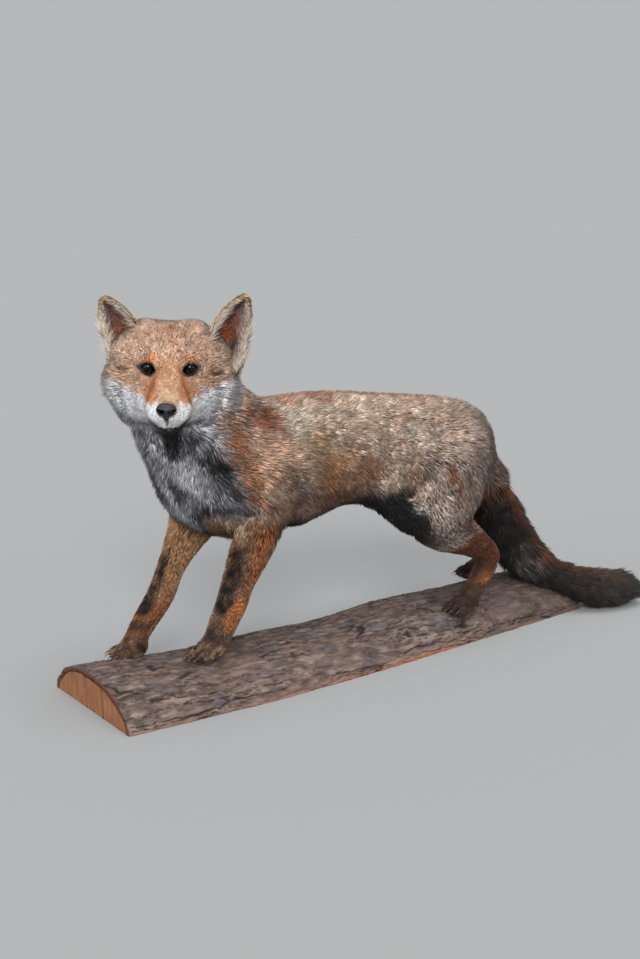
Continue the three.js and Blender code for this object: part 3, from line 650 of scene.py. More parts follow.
def net_over(field, xs, ys, zs):
    """A closed net of quads over a field's surface: its points and its quads."""
    value = lattice_values(field, xs, ys, zs)
    inside = value < 0
    cell_shape = tuple(n - 1 for n in inside.shape)
    corner = [inside[c[0]:c[0] + cell_shape[0], c[1]:c[1] + cell_shape[1], c[2]:c[2] + cell_shape[2]]
              for c in CORNERS]
    count = np.sum(corner, axis=0, dtype=np.int8)
    at = np.argwhere((count > 0) & (count < 8))
    number = np.full(cell_shape, -1)
    number[tuple(at.T)] = np.arange(len(at))
    axes = (xs, ys, zs)
    total, weight = np.zeros((len(at), 3)), np.zeros(len(at))

    def node(n):
        return np.stack([axes[i][n[:, i]] for i in range(3)], 1)
    for a, b in EDGES:
        ia, ib = at + CORNERS[a], at + CORNERS[b]
        va, vb = value[tuple(ia.T)], value[tuple(ib.T)]
        crossed = (va < 0) != (vb < 0)
        t = np.where(crossed, va / np.where(crossed, va - vb, 1), 0)
        total += np.where(crossed[:, None], node(ia) + t[:, None] * (node(ib) - node(ia)), 0)
        weight += crossed
    P = start = total / weight[:, None]
    # the points settle on the surface, but stay near their own cells
    for _ in range(2):
        slope = slope_of(field, P)
        P = P - slope * (in_chunks(field, P) / np.maximum((slope ** 2).sum(1), 0.25))[:, None]
    cell = np.min([np.diff(v)[at[:, i]] for i, v in enumerate(axes)], axis=0)
    shift = P - start
    size = np.linalg.norm(shift, axis=1)
    P = start + shift * np.minimum(1, cell * 0.45 / np.maximum(size, 1e-9))[:, None]
    quads = []
    for axis in range(3):
        u, v = (axis + 1) % 3, (axis + 2) % 3
        here = np.moveaxis(inside, axis, 0)
        crossed = np.argwhere(np.moveaxis(here[:-1] != here[1:], 0, axis))
        ok = (crossed[:, u] > 0) & (crossed[:, v] > 0)
        ok &= (crossed[:, u] < inside.shape[u] - 1) & (crossed[:, v] < inside.shape[v] - 1)
        crossed = crossed[ok]
        eu, ev = np.eye(3, dtype=int)[u], np.eye(3, dtype=int)[v]
        ring = np.stack([number[tuple((crossed - eu * s - ev * t).T)]
                         for s, t in ((0, 0), (1, 0), (1, 1), (0, 1))], 1)
        facing = inside[tuple(crossed.T)]
        quads.append(np.where(facing[:, None], ring, ring[:, ::-1]))
    return P, np.concatenate(quads)


def spacing(*runs):
    """Lattice lines from runs of [start, end, step]."""
    lines = [np.linspace(a, b, max(2, round((b - a) / s) + 1))[:-1] for a, b, s in runs]
    return np.concatenate([*lines, [runs[-1][1]]])


# ---- ears

EARS = [([-62, 97, 82], [-0.05, 0.4, 0.91], [0.93, 0.28, 0]),
        ([-62, -85, 76], [-0.05, -0.5, 0.86], [0.93, -0.28, 0])]
EAR_LENGTH, EAR_HALF_WIDTH = 98, 32
EAR_ROWS, EAR_COLUMNS = 34, 30


def ear_axes(rise, opening):
    axis = unit(rise)
    return axis, unit(np.array(opening) - axis * np.dot(opening, axis))


def ear_net(tip, rise, opening):
    """An ear as a thin rolled cup: points, quads, and for each point its [height, angle, layer]."""
    axis, front = ear_axes(rise, opening)
    side = np.cross(axis, front)
    points, marks = [], []
    for layer in (0, 1):
        for row in range(EAR_ROWS + 1):
            t = 1 - (1 - row / EAR_ROWS) ** 1.4
            half = EAR_HALF_WIDTH * max(1 - t ** 2, 0) ** 0.68 + 4 * t
            roll = math.radians(100 - 45 * t)
            radius = half / math.sin(min(roll, math.pi / 2))
            for column in range(EAR_COLUMNS + 1):
                angle = (2 * column / EAR_COLUMNS - 1) * roll
                reach = radius - 0.9 - layer * (3.0 * (1 - 0.6 * t))
                # the edge is never quite smooth
                reach += 0.5 * math.sin(angle * 5 + t * 9) * t * (1 - t)
                back = reach * math.cos(angle) - radius * 0.4
                offset = -front * back + side * reach * math.sin(angle)
                points.append(np.array(tip) + axis * (EAR_LENGTH * (t - 1) - 0.8) + offset)
                marks.append((t, angle / roll, layer))

    def at(layer, row, column):
        return (layer * (EAR_ROWS + 1) + row) * (EAR_COLUMNS + 1) + column
    quads = []
    for row in range(EAR_ROWS):
        for column in range(EAR_COLUMNS):
            for layer in (0, 1):
                ring = [at(layer, row, column), at(layer, row, column + 1),
                        at(layer, row + 1, column + 1), at(layer, row + 1, column)]
                quads.append(ring if layer else ring[::-1])
        for column, order in ((0, -1), (EAR_COLUMNS, 1)):
            ring = [at(0, row, column), at(0, row + 1, column), at(1, row + 1, column), at(1, row, column)]
            quads.append(ring[::order])
    for column in range(EAR_COLUMNS):
        for row, order in ((0, 1), (EAR_ROWS, -1)):
            ring = [at(0, row, column), at(0, row, column + 1), at(1, row, column + 1), at(1, row, column)]
            quads.append(ring[::order])
    return from_head(np.array(points)), np.array(quads), np.array(marks)


# ---- markings, shared by skin and coat

BACK = (212, 185, 164)
BACK_RUST = (176, 112, 80)
TAN = (214, 180, 144)
ORANGE = (200, 142, 90)
DARK_RUST = (146, 80, 42)
PALE = (218, 202, 180)
RUST = (170, 112, 72)
PINK = (222, 178, 150)
LOW_RUST = (142, 88, 56)
BELLY = (26, 19, 16)
SOOT = (24, 21, 22)
SILVER = (206, 204, 204)
THIGH = (150, 133, 124)
LEG_TAN = (169, 127, 92)
LEG_RUST = (153, 91, 54)
PAW = (104, 78, 60)
BIB = (160, 160, 168)
BIB_PALE = (222, 222, 228)
BIB_DARK = (24, 22, 24)
NAPE = (164, 132, 106)
FOREHEAD = (206, 168, 144)
FACE_ORANGE = (222, 168, 128)
MUZZLE_SIDE = (204, 138, 90)
BROW = (204, 128, 78)
BRIDGE = (196, 148, 110)
CREAM = (206, 174, 142)
TEAR = (140, 72, 36)
WHITE = (240, 240, 242)
CHEEK = (242, 242, 247)
CHEEK_GREY = (196, 198, 208)
CHIN = (20, 18, 19)
# painted shade in the folds at the eyes' outer corners
CREASE_SHADE = (56, 36, 28)
SIDE_HEAD = (188, 158, 138)
TAIL_DARK = (36, 28, 26)
TAIL_RUST = (98, 58, 37)
TAIL_GREY = (92, 86, 86)
TAIL_END = (54, 44, 39)
EAR_BACK = (46, 38, 36)
EAR_RIM = (186, 156, 114)
EAR_MAUVE = (118, 92, 90)
EAR_DEEP = (162, 84, 38)
EAR_HAIR = (200, 188, 174)
PALE_TICK = np.array([0.66, 0.60, 0.54])  # as linear light


class Paint:
    """Colours laid over each other at a list of points, each where its mask says."""

    def __init__(self, count, colour):
        self.colour = np.tile(srgb(*colour), (count, 1))

    def lay(self, colour, mask, light=1.0):
        # a light below 1 lays a darker copy of the colour, as painted shade
        self.colour = between(self.colour, srgb(*colour) * light, np.clip(mask, 0, 1))


def dark_throat(P):
    """The black patch under the chin, running down on to the bib."""
    ragged = 4 * wander3(P, 9)
    wide = stripe(P + ragged, (104, -312, 384), (76, -298, 366), 36)
    return np.maximum(wide, stripe(P + ragged, (80, -302, 370), (38, -280, 334), 32))


def bib_edge(z):
    """Where the grey bib ends along the side of the neck and chest, at each height."""
    return table(z, [(225, -166), (250, -186), (268, -193), (300, -198), (325, -208), (360, -218),
                     (400, -234)])


def mark_trunk(lay, P, N, rough, fine):
    x, y, z = P.T
    # both sides alike, with uneven borders
    M = np.stack([np.abs(x), y, z], 1) + 7 * np.stack([rough, wander(P, 20, 1), wander(P, 20, 2)], 1)
    blotch = 0.85 + 0.3 * rough + 0.3 * fine
    combed = wander(P * [1, 0.3, 1], 7, 0)
    lay((164, 124, 100), 0.45 * step(0.0, 0.8, combed))
    lay((226, 208, 196), 0.45 * step(0.0, -0.8, combed))
    lay(BACK_RUST, 0.8 * hump(0, 26, x) * step(0.5, 0.85, N[:, 2]))
    lay(NAPE, 0.7 * step(-150, -200, y) * step(340, 376, z))
    lay(PINK, 0.9 * spot(M, (86, -150, 312), (48, 46, 66)))
    lay(PALE, 0.85 * spot(M, (60, -96, 350), (40, 38, 30)))
    lay(TAN, 0.9 * spot(M, (80, -76, 306), (50, 50, 46)))
    lay(ORANGE, 0.95 * spot(M, (74, -46, 278), (56, 66, 36)) * blotch)
    lay(RUST, 0.85 * spot(M, (67, 10, 272), (44, 44, 26)) * blotch)
    lay(LOW_RUST, 0.97 * step(264, 246, M[:, 2]) * step(-190, -150, y) * step(40, 0, y) * blotch)
    lay(DARK_RUST, 0.97 * spot(M, (54, -146, 368), (50, 46, 32)) * blotch)
    lay(DARK_RUST, 0.8 * stripe(M, (26, -100, 382), (24, -20, 376), 15) * blotch)
    lay(PALE, 0.6 * stripe(M, (42, -116, 372), (44, -30, 366), 12))
    lay(RUST, 0.95 * stripe(M, (84, -220, 352), (82, -190, 266), 44) * blotch)
    lay(LOW_RUST, 0.85 * spot(M, (78, -186, 256), (34, 26, 34)) * blotch)
    lay(PALE, 0.85 * spot(M, (78, -200, 266), (22, 13, 26)))
    lay((104, 82, 70), 0.55 * stripe(M, (90, -136, 286), (86, -112, 250), 26))
    low = step(table(y, [(-200, 200), (-120, 210), (-60, 214), (0, 230), (60, 242), (120, 204)]) + 8,
               table(y, [(-200, 188), (-120, 198), (-60, 202), (0, 212), (60, 222), (120, 184)]), z)
    lay(BELLY, 0.95 * low * step(190, 150, y) * step(-190, -150, y))
    lay(SOOT, 0.97 * step(240, 218, z + 0.05 * (y - 40)) * step(6, 30, y) * step(118, 90, y))
    lay(SOOT, 0.97 * spot(M, (54, 62, 196), (44, 42, 48)))
    lay(SILVER, 0.85 * stripe(M, (70, 84, 236), (68, 98, 200), 14) * (0.6 + 0.8 * fine))
    lay((160, 138, 126), 0.7 * step(120, 210, y))
    lay(THIGH, 0.85 * step(104, 132, y) * step(300, 262, z))
    lay((196, 178, 166), 0.6 * spot(M, (94, 118, 200), (30, 22, 46)))
    lay((130, 82, 54), 0.9 * stripe(M, (88, 140, 268), (98, 152, 214), 17) * (0.7 + 0.9 * fine))
    lay((130, 82, 54), 0.7 * stripe(M, (89, 190, 292), (98, 172, 214), 12) * (0.6 + 0.9 * fine))
    lay((104, 84, 74), 0.75 * step(204, 238, y) * step(340, 296, z))
    lay((86, 54, 38), 0.8 * spot(M, (92, 182, 166), (34, 34, 36)))


def mark_legs(lay, P, N, rough, fine):
    x, y, z = P.T
    blotch = 0.85 + 0.3 * rough + 0.3 * fine
    fore = step(238, 214, z) * step(-110, -128, y)
    left_leg = fore * step(-5, 5, x)
    right_leg = fore - left_leg
    lay(LEG_TAN, fore)
    lay((132, 94, 68), 0.9 * left_leg * step(120, 160, z))
    lay((122, 96, 84), 0.6 * left_leg * step(170, 120, z))
    lay((206, 182, 152), 0.75 * left_leg * spot(P, (60, -206, 224), (26, 20, 26)))
    lay(LEG_RUST, 0.9 * left_leg * stripe(P, (84, -166, 204), (72, -190, 128), 24) * blotch)
    lay(SOOT, 0.95 * left_leg * stripe(P, (62, -212, 188), (54, -226, 124), 23) * (0.9 + 0.3 * fine))
    lay(SOOT, 0.9 * left_leg * stripe(P, (38, -226, 176), (40, -240, 120), 12))
    lay((190, 118, 60), 0.85 * left_leg * stripe(P, (68, -206, 122), (62, -222, 98), 15))
    lay(SOOT, 0.8 * left_leg * spot(P, (52, -248, 80), (20, 16, 18)))
    lay((176, 132, 92), 0.8 * right_leg * step(130, 160, z))
    lay(LEG_RUST, 0.8 * right_leg * step(134, 110, z))
    lay(SOOT, 0.95 * right_leg * stripe(P, (-52, -262, 172), (-48, -292, 112), 18) * (0.9 + 0.3 * fine))
    lay(SOOT, 0.9 * right_leg * stripe(P, (-42, -272, 146), (-40, -296, 108), 9))
    hind = step(170, 150, z + 0.45 * (190 - y)) * step(112, 130, y)
    lay((176, 104, 56), hind)
    # darker at the top of the hock: the leg's dark rust, and painted shade under the thigh
    lay((86, 46, 26), 0.9 * hind * step(82, 104, z))
    lay((52, 38, 32), 0.75 * hind * step(0.25, 0.7, -N[:, 1]) * step(150, 110, z))
    mottle = step(-0.15, 0.5, wander(P, 11, 2) + 0.5 * fine)
    wrist = step(112, 84, z + 6 * rough)
    anywhere = np.maximum(fore, hind)
    lay((54, 40, 33), 0.8 * anywhere * wrist * (0.35 + 0.65 * mottle))
    lay(PAW, 0.8 * anywhere * step(82, 66, z))
    lay(SOOT, 0.8 * anywhere * step(80, 60, z) * step(0.1, 0.5, wander(P, 8, 1)))
    lay((190, 158, 124), 0.65 * fore * step(80, 60, z) * step(0.1, 0.5, wander(P, 7, 0)))
    lay((44, 33, 28), 0.7 * hind * step(86, 60, z))
    # painted shade: the clefts between the toes are coloured near black
    lay((24, 19, 18), 0.92 * toe_cleft_shade(P))


def toe_cleft_shade(P):
    """1 in the clefts between the toes of each paw, where shade is painted dark."""
    gaps = np.zeros(len(P))
    for paw in PAWS:
        q = in_paw(P, paw)
        cleft = np.abs(q[:, 1:2] / (PAW_WIDTH * TOE_SPACING) - [-1, 0, 1]).min(1)
        gap = step(0.34, 0.12, cleft) * step(6, 14, q[:, 0]) * step(26, 20, q[:, 2])
        gaps = np.maximum(gaps, gap * (np.abs(q).max(1) < PAW_REACH))
    return gaps


def mark_bib(lay, P, rough, fine):
    x, y, z = P.T
    edge = bib_edge(z)
    base = 224 - 42 * hump(2, 48, x)
    chest = step(edge + 9, edge - 11, y + 7 * rough) * step(base, base + 16, z)
    lay(BIB, chest)
    cloud = wander(P, 20, 2) + 0.7 * wander(P, 10, 0)
    lay(BIB_PALE, 0.8 * chest * step(0.0, 0.8, cloud))
    lay(BIB_DARK, 0.85 * chest * step(-0.15, -0.8, cloud))
    lay(BIB_DARK, 0.92 * chest * stripe(P, (82, -216, 300), (76, -234, 316), 20))
    lay((150, 148, 152), 0.8 * chest * spot(P, (68, -247, 286), (22, 20, 18)))
    lay(BIB_PALE, 0.92 * chest * stripe(P, (20, -296, 330), (44, -272, 298), 30) * (0.9 + 0.3 * fine))
    lay(BIB_DARK, 0.7 * chest * spot(P, (60, -238, 256), (50, 36, 22)) * (0.8 + 0.6 * fine))
    lay(BIB_DARK, 0.98 * dark_throat(P))
    lay((22, 20, 22), 0.95 * chest * step(base + 32, base + 16, z))


def body_colour(P, N):
    rough = wander(P, 26, 0)
    fine = wander(P, 9, 1)
    paint = Paint(len(P), BACK)
    mark_trunk(paint.lay, P, N, rough, fine)
    mark_legs(paint.lay, P, N, rough, fine)
    mark_bib(paint.lay, P, rough, fine)
    return paint.colour


def tail_colour(P, N):
    _, y, z = P.T
    fine = wander(P, 8, 1)
    paint = Paint(len(P), TAIL_DARK)
    lay = paint.lay
    lay(TAIL_RUST, 0.9 * step(0.0, 0.6, N[:, 1] * 0.8 + N[:, 2] * 0.6 + 0.3 * fine))
    lay((20, 17, 18), 0.9 * step(0.1, 0.6, -N[:, 1] + 0.25 * fine) * step(120, 170, z))
    lay(TAIL_GREY, 0.8 * spot(P, (48, 316, 84), (40, 34, 40)) * (0.6 + 0.9 * fine))
    # painted shade: the tail is darker low down, beside the log
    lay((26, 21, 21), 0.85 * step(46, 24, z) * step(430, 400, y))
    lay(TAIL_END, 0.85 * step(350, 410, y) * (0.7 + 0.5 * fine))
    lay((34, 28, 27), 0.75 * step(430, 466, y))
    lay(BACK, 0.7 * step(262, 240, y) * step(248, 266, z))
    return paint.colour


def head_colour(P):
    H = in_head(P)
    f, l, u = H.T
    a = np.abs(l)
    rough = wander(P, 15, 0)
    fine = wander(P, 6, 1)
    paint = Paint(len(P), FOREHEAD)
    lay = paint.lay
    combed = wander(H * [0.3, 1, 1], 3.5, 1)
    lay((222, 196, 178), 0.45 * step(0.2, 0.9, combed))
    lay((146, 108, 84), 0.45 * step(-0.2, -0.9, combed))
    lay((160, 118, 88), 0.6 * hump(0, 15, l) * step(16, 34, u) * (0.8 + 0.6 * fine))
    lay((160, 120, 92), 0.45 * step(24, 44, u) * step(-60, -30, f))
    lay(SIDE_HEAD, 0.85 * step(-34, -62, f))
    lay(SIDE_HEAD, 0.75 * step(52, 70, a) * step(-20, 0, u))
    lay(FACE_ORANGE, 0.85 * spot(H * [1, 0, 1] + 3 * fine[:, None], (2, 0, -12), (44, 1, 21)))
    lay(BROW, 0.75 * spot(np.stack([f, a, u], 1), (-3, 21, 10), (18, 17, 8)) * (0.9 + 0.3 * fine))
    lay(MUZZLE_SIDE, 0.9 * step(8, 24, f) * step(9, 15, a) * step(-42, -32, u))
    lay(BRIDGE, 0.9 * step(14, 9, a) * step(-2, 14, f) * (0.9 + 0.2 * rough))
    lay(CREAM, 0.8 * step(42, 56, f) * step(15, 8, a) * step(-36, -26, u))
    for s in (1, -1):
        own = l * s > 0
        lay(TEAR, 0.85 * step(7.5, 1.5, line_distance(H, TEAR_LINE, s) + 0.8 * fine) * own)
        # painted shade: dark lines along the folds at the eyes' outer corners
        for crease, _ in CREASES:
            lay(CREASE_SHADE, 0.85 * step(3.2, 1.4, line_distance(H, crease, s)) * own)
        # dark ring round each eye: the black lid margin, and painted shade in the hollow between lid and
        # eyeball
        p, q = lid_plane(H, s)
        ring = np.hypot(p / (LID_HALF_WIDTH + 2.2), q / (LID_UPPER + 1.8))
        lay((30, 19, 16), 0.97 * step(1.03, 0.88, ring) * own * (f > -24))
    border = table(f, [(-60, -26), (-38, -26), (-17, -26), (0, -27), (25, -31), (35, -36)])
    cheek = step(border + 7, border - 7, u + 3 * fine + 3 * combed) * step(40, 32, f)
    lay(CHEEK, cheek)
    strands = wander(H * [1, 0.35, 1], 6, 2)
    lay(CHEEK_GREY, 0.7 * cheek * step(0.3, 1.0, strands + 0.3 * rough))
    lay(SIDE_HEAD, 0.85 * step(-70, -92, f + 0.25 * (u + 30)))
    lay((92, 80, 76), 0.4 * step(0.1, 0.8, strands) * hump(-31, 9, u) * step(-14, -34, f))
    lay(WHITE, step(36, 42, f) * step(-30, -36, u + 1.5 * fine))
    lay(WHITE, 0.95 * step(50, 58, f) * step(9, 12, a) * step(-24, -30, u))
    low = step(-58, -84, u)
    lay(BIB, 0.85 * low * step(40, 30, f))
    cloud = wander(P, 17, 2) + 0.6 * wander(P, 8, 0)
    lay(BIB_DARK, 0.8 * low * step(0.0, 0.7, cloud) * step(40, 30, f))
    lay(BIB_PALE, 0.5 * low * step(0.0, -0.8, cloud) * step(40, 30, f))
    under = u - mouth_height(f)
    chin = step(0.5, -1.5, under) * step(10, 24, f) * step(30, 16, a + 4 * fine + 2 * rough)
    lay(CHIN, 0.98 * chin * step(-106, -92, u + 6 * rough))
    # painted shade: a darker copy of the cheek grey on the underside of the jaw
    lay(CHEEK_GREY, 0.6 * step(-44, -60, u) * step(0.0, -0.7, strands) * (under < -2), 0.55)
    below = np.maximum(under < -1, step(46, 38, f) * step(-48, -55, u))
    lay(BIB_DARK, 0.98 * dark_throat(P) * below)
    lay((200, 196, 194), 0.8 * spot(H, (70, 3, -58), (8, 5, 3)))
    lay((24, 20, 21), 0.97 * hump(0, 2.2, under) * step(36, 44, f) * step(24, 18, a))
    lay((26, 24, 28), 0.9 * hump(-1, 2.2, l) * step(66, 70, f) * step(-36, -40, u))
    return paint.colour


def ear_colour(marks, P):
    t, angle, layer = marks.T
    wide = np.abs(angle)
    fine = wander(P, 7, 1)
    outside = Paint(len(P), EAR_BACK)
    outside.lay(EAR_RIM, 0.9 * step(0.62, 0.95, wide + 0.1 * fine))
    outside.lay(SIDE_HEAD, 0.9 * step(0.36, 0.18, t))
    inside = Paint(len(P), EAR_MAUVE)
    inside.lay(EAR_DEEP, 0.95 * hump(0.42, 0.34, t + 0.06 * fine) * step(0.70, 0.3, wide))
    # painted shade: the inside of the ear is darkened deep in its hollow at the base
    inside.lay((64, 32, 20), 0.8 * step(0.38, 0.16, t) * step(0.7, 0.3, wide))
    inside.lay(EAR_HAIR, 0.75 * step(0.52, 0.86, wide))
    inside.lay(EAR_RIM, 0.8 * step(0.8, 0.97, t))
    return np.where(layer[:, None] > 0.5, inside.colour, outside.colour)


# ---- the lie of the coat

def limb_direction(rows, P):
    """The way from the first row to the last, near each point."""
    balls = along(rows, 4)[:, :3]
    middle = (balls[1:] + balls[:-1]) / 2
    way = unit(balls[1:] - balls[:-1])
    reach = np.linalg.norm(P[:, None] - middle[None], axis=2)
    weight = 1 / (reach ** 4 + 1)
    return unit(weight @ way)


def lie_of_coat(P, N):
    """The way the hair lies at each point, before it is laid flat on the skin."""
    x, y, z = P.T
    side = np.abs(N[:, 0])
    front = step(0.1, 0.75, -N[:, 1])
    trunk = np.stack([np.zeros_like(x), np.ones_like(x),
                      -0.1 - 0.55 * side - 0.9 * step(300, 230, z)], 1)
    trunk[:, 2] -= 1.1 * step(150, 240, y)
    neck_way = np.stack([0.15 * np.sign(x), 0.85 * (1 - front) + 0.05, -0.55 - 0.45 * front], 1)
    share = step(-120, -190, y)
    way = between(unit(trunk), unit(neck_way), share)
    way = unit(between(way, np.array([0, 0.25, -1.0]), step(110, 140, y) * step(285, 235, z)))
    for side, sign in (("left", 1), ("right", -1)):
        for rows, top, along_body in ((FORELEG[side], 236, y < -100), (HINDLEG[side], 178, y > 90)):
            at = (np.sign(x) == sign) & (z < top + 20) & along_body
            share = step(top + 15, top - 25, z[at])
            way[at] = between(way[at], limb_direction(rows, P[at]), share)
    for paw in PAWS:
        q, forward = in_paw(P, paw), paw_axes(paw)[1][0]
        share = step(44, 26, np.abs(q[:, 0] - 4)) * step(36, 24, np.abs(q[:, 1])) * step(34, 20, q[:, 2])
        way = between(way, forward * 0.9 - [0, 0, 0.45], share)
    return unit(way)


def lie_on_head(P):
    H = in_head(P)
    f, l, u = H.T
    a, s = np.abs(l), np.sign(l)
    up = 0.6 * step(-4, 26, u) * step(30, 0, f) - 0.95 * step(-22, -60, u)
    out = s * (0.75 * step(6, 44, a) * step(34, 10, f) + 0.25 * step(10, 20, a))
    back = -1.0 + 0.35 * step(-30, -70, u) * step(20, 0, f)
    way = np.stack([back, out, up], 1)
    return unit(head_turn(unit(way)))


# ---- meshes from arrays

MM = 0.001


def make_piece(name, points, faces, material, nodes, colour=None, uv=None):
    """A mesh object from millimetre points and same-sized faces, in the place of some nodes."""
    points, faces = np.asarray(points), np.asarray(faces)
    count, size = faces.shape
    mesh = bpy.data.meshes.new(name)
    mesh.vertices.add(len(points))
    mesh.vertices.foreach_set("co", (points * MM).astype(np.float32).ravel())
    mesh.loops.add(count * size)
    mesh.loops.foreach_set("vertex_index", faces.astype(np.int32).ravel())
    mesh.polygons.add(count)
    mesh.polygons.foreach_set("loop_start", np.arange(0, count * size, size, dtype=np.int32))
    mesh.polygons.foreach_set("use_smooth", np.full(count, True))
    mesh.update(calc_edges=True)
    if colour is not None:
        paint_mesh(mesh, colour)
    if uv is not None:
        layer = mesh.uv_layers.new(name="OFBake")
        layer.data.foreach_set("uv", uv[faces.ravel()].astype(np.float32).ravel())
    mesh.materials.append(material)
    piece = add_object(name, mesh)
    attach(piece, "root")
    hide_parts(*nodes)
    return piece


def paint_mesh(mesh, colour):
    layer = mesh.color_attributes.new(name="Col", type="FLOAT_COLOR", domain="POINT")
    rgba = np.ones((len(colour), 4), np.float32)
    rgba[:, :3] = np.clip(colour, 0, 1)
    layer.data.foreach_set("color", rgba.ravel())


def join_parts(parts):
    """Joins (points, faces) pairs into one pair."""
    points, faces, start = [], [], 0
    for p, f in parts:
        points.append(p)
        faces.append(np.asarray(f) + start)
        start += len(p)
    return np.concatenate(points), np.concatenate(faces)


def grid_quads(rows, columns, close_rows=False, close_columns=False):
    """Quads over rows of points; the rows, or the points of each row, may close into a ring."""
    i, j = np.indices((rows - 1 + close_rows, columns - 1 + close_columns))
    below, above, beside = i * columns, (i + 1) % rows * columns, (j + 1) % columns
    return np.stack([below + j, below + beside, above + beside, above + j], -1).reshape(-1, 4)


def ring_net(rings):
    """A tube through closed rings of points; its ends stay open."""
    return np.concatenate(rings), grid_quads(len(rings), len(rings[0]), close_columns=True)


def normals_of(points, quads):
    """The way each point of a net faces."""
    a, b, c, d = (points[quads[:, i]] for i in range(4))
    face = np.cross(c - a, d - b)
    out = np.zeros_like(points)
    for i in range(4):
        for axis in range(3):
            out[:, axis] += np.bincount(quads[:, i], face[:, axis], minlength=len(points))
    return unit(out)


# ---- materials

def fur_material(name, fine_scale, sheen):
    n = Nodes(name)
    grain = n.noise(n.place(), fine_scale, 3.0, 0.6)
    n.set(Base_Color=n.tinted(n.grey(n.math("MULTIPLY_ADD", grain, 0.7, 0.65))), Roughness=0.62,
          Specular_IOR_Level=0.18, Sheen_Weight=sheen, Sheen_Roughness=0.45,
          Normal=n.bump(grain, 0.35, 0.0006))
    return n.material


def eye_material():
    n = Nodes("eye_glass_brown")
    around = n.stored("spoke", "Vector")
    fibre = n.noise(around, 9.0, 4.0, 0.6)
    height = n.add("ShaderNodeSeparateXYZ", {"Vector": around}).outputs["Y"]
    # painted light: the iris is lit towards the bottom, as light gathered there by the cornea, and left dark
    # above, as shade under the upper lid
    painted_light_share = n.math("MULTIPLY_ADD", height, -0.2, 0.0)
    iris = n.mix(fibre, tuple(srgb(70, 34, 14)), tuple(srgb(170, 104, 50)))
    iris = n.mix(painted_light_share, (0.004, 0.002, 0.0015), iris)
    ring = n.ramp(n.stored("ring", "Fac"), (0.0, 0.0), (0.70, 0.0), (0.76, 1.0), (0.90, 1.0), (0.99, 0.0))
    n.set(Base_Color=n.mix(ring, (0.002, 0.0015, 0.0015), iris), Roughness=0.05, IOR=1.33,
          Specular_IOR_Level=0.42)
    return n.material


def nose_material():
    n = Nodes("nose_leather")
    where = n.place()
    cells = n.add("ShaderNodeTexVoronoi", {"Vector": where, "Scale": 900.0}).outputs["Distance"]
    patch = n.noise(where, 120.0)
    n.set(Base_Color=n.tinted(n.mix(patch, (0.35, 0.35, 0.35), (1.0, 1.0, 1.0))),
          Roughness=n.math("MULTIPLY_ADD", patch, 0.2, 0.34), Specular_IOR_Level=0.26,
          Normal=n.bump(cells, 0.5, 0.0004))
    return n.material


def rim_material():
    n = Nodes("lid_margin")
    patch = n.noise(n.place(), 300.0)
    n.set(Base_Color=n.mix(patch, (0.004, 0.003, 0.0025), (0.012, 0.008, 0.007)), Roughness=0.5,
          Specular_IOR_Level=0.15)
    return n.material


def horn_material():
    n = Nodes("claw_horn")
    streak = n.noise(n.place((1, 1, 6)), 240.0)
    n.set(Base_Color=n.mix(streak, (0.02, 0.016, 0.014), (0.10, 0.075, 0.055)), Roughness=0.32)
    return n.material


def bark_material():
    n = Nodes("bark_furrowed")
    grain = n.noise(n.place((1, 0.35, 1)), 300.0, 6.0, 0.65)
    speck = n.noise(n.place(), 800.0, 4.0, 0.7)
    shade = n.math("ADD", n.math("MULTIPLY_ADD", grain, 1.1, 0.18), n.math("MULTIPLY", speck, 0.5))
    n.set(Base_Color=n.tinted(n.grey(shade)), Roughness=0.85, Specular_IOR_Level=0.25,
          Normal=n.bump(grain, 0.7, 0.0018, n.bump(speck, 0.5, 0.0008)))
    return n.material


def wood_material():
    n = Nodes("wood_cut")
    grain = n.noise(n.place((1, 0.05, 1)), 420.0, 5.0, 0.6)
    blotch = n.noise(n.place(), 26.0, 3.0)
    shade = n.math("ADD", n.math("MULTIPLY_ADD", grain, 0.6, 0.42), n.math("MULTIPLY", blotch, 0.5))
    n.set(Base_Color=n.tinted(n.grey(shade)), Roughness=0.72, Normal=n.bump(grain, 0.4, 0.0006))
    return n.material


# ---- the skin

UNDER_COAT = 0.38  # how dark the skin is under the hair

FLESH = [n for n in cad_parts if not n.startswith(("log_", "eye_", "nose"))]


def body_with_fields():
    """The skin without its ears, and what the coat needs to know at each of its points."""
    xs = spacing([-112, -40, 3.2], [-40, 140, 2.3], [140, 150, 3])
    ys = spacing([-362, -180, 1.8], [-180, 130, 4.2], [130, 330, 3.4], [330, 500, 4.2])
    zs = spacing([8, 40, 4], [40, 100, 2.5], [100, 366, 4.0], [366, 512, 1.75])
    points, quads = net_over(skin_field, xs, ys, zs)
    slope = unit(slope_of(skin_field, points))
    body, head, _, tail, depth, share, foot = skin_parts(points)
    is_tail = step(6, -6, tail - (np.minimum(body, head) + depth))
    way = unit(between(lie_of_coat(points, slope), lie_on_head(points), share))
    way = unit(between(way, limb_direction(TAIL, points), is_tail))
    depth = depth * (1 - is_tail) + tail_depth(points) * is_tail
    # long hair shows its colour away from its root, out towards its tip
    seen = points + (slope * 0.8 + way) * (depth * step(3, 9, depth))[:, None]
    colour = between(body_colour(seen, slope), head_colour(seen), share)
    colour = between(colour, tail_colour(seen, slope), is_tail)
    return points, quads, dict(N=slope, way=way, depth=depth, colour=colour, share=share, tail=is_tail,
                               foot=foot, ear=np.zeros((len(points), 3)), is_ear=np.zeros(len(points)))


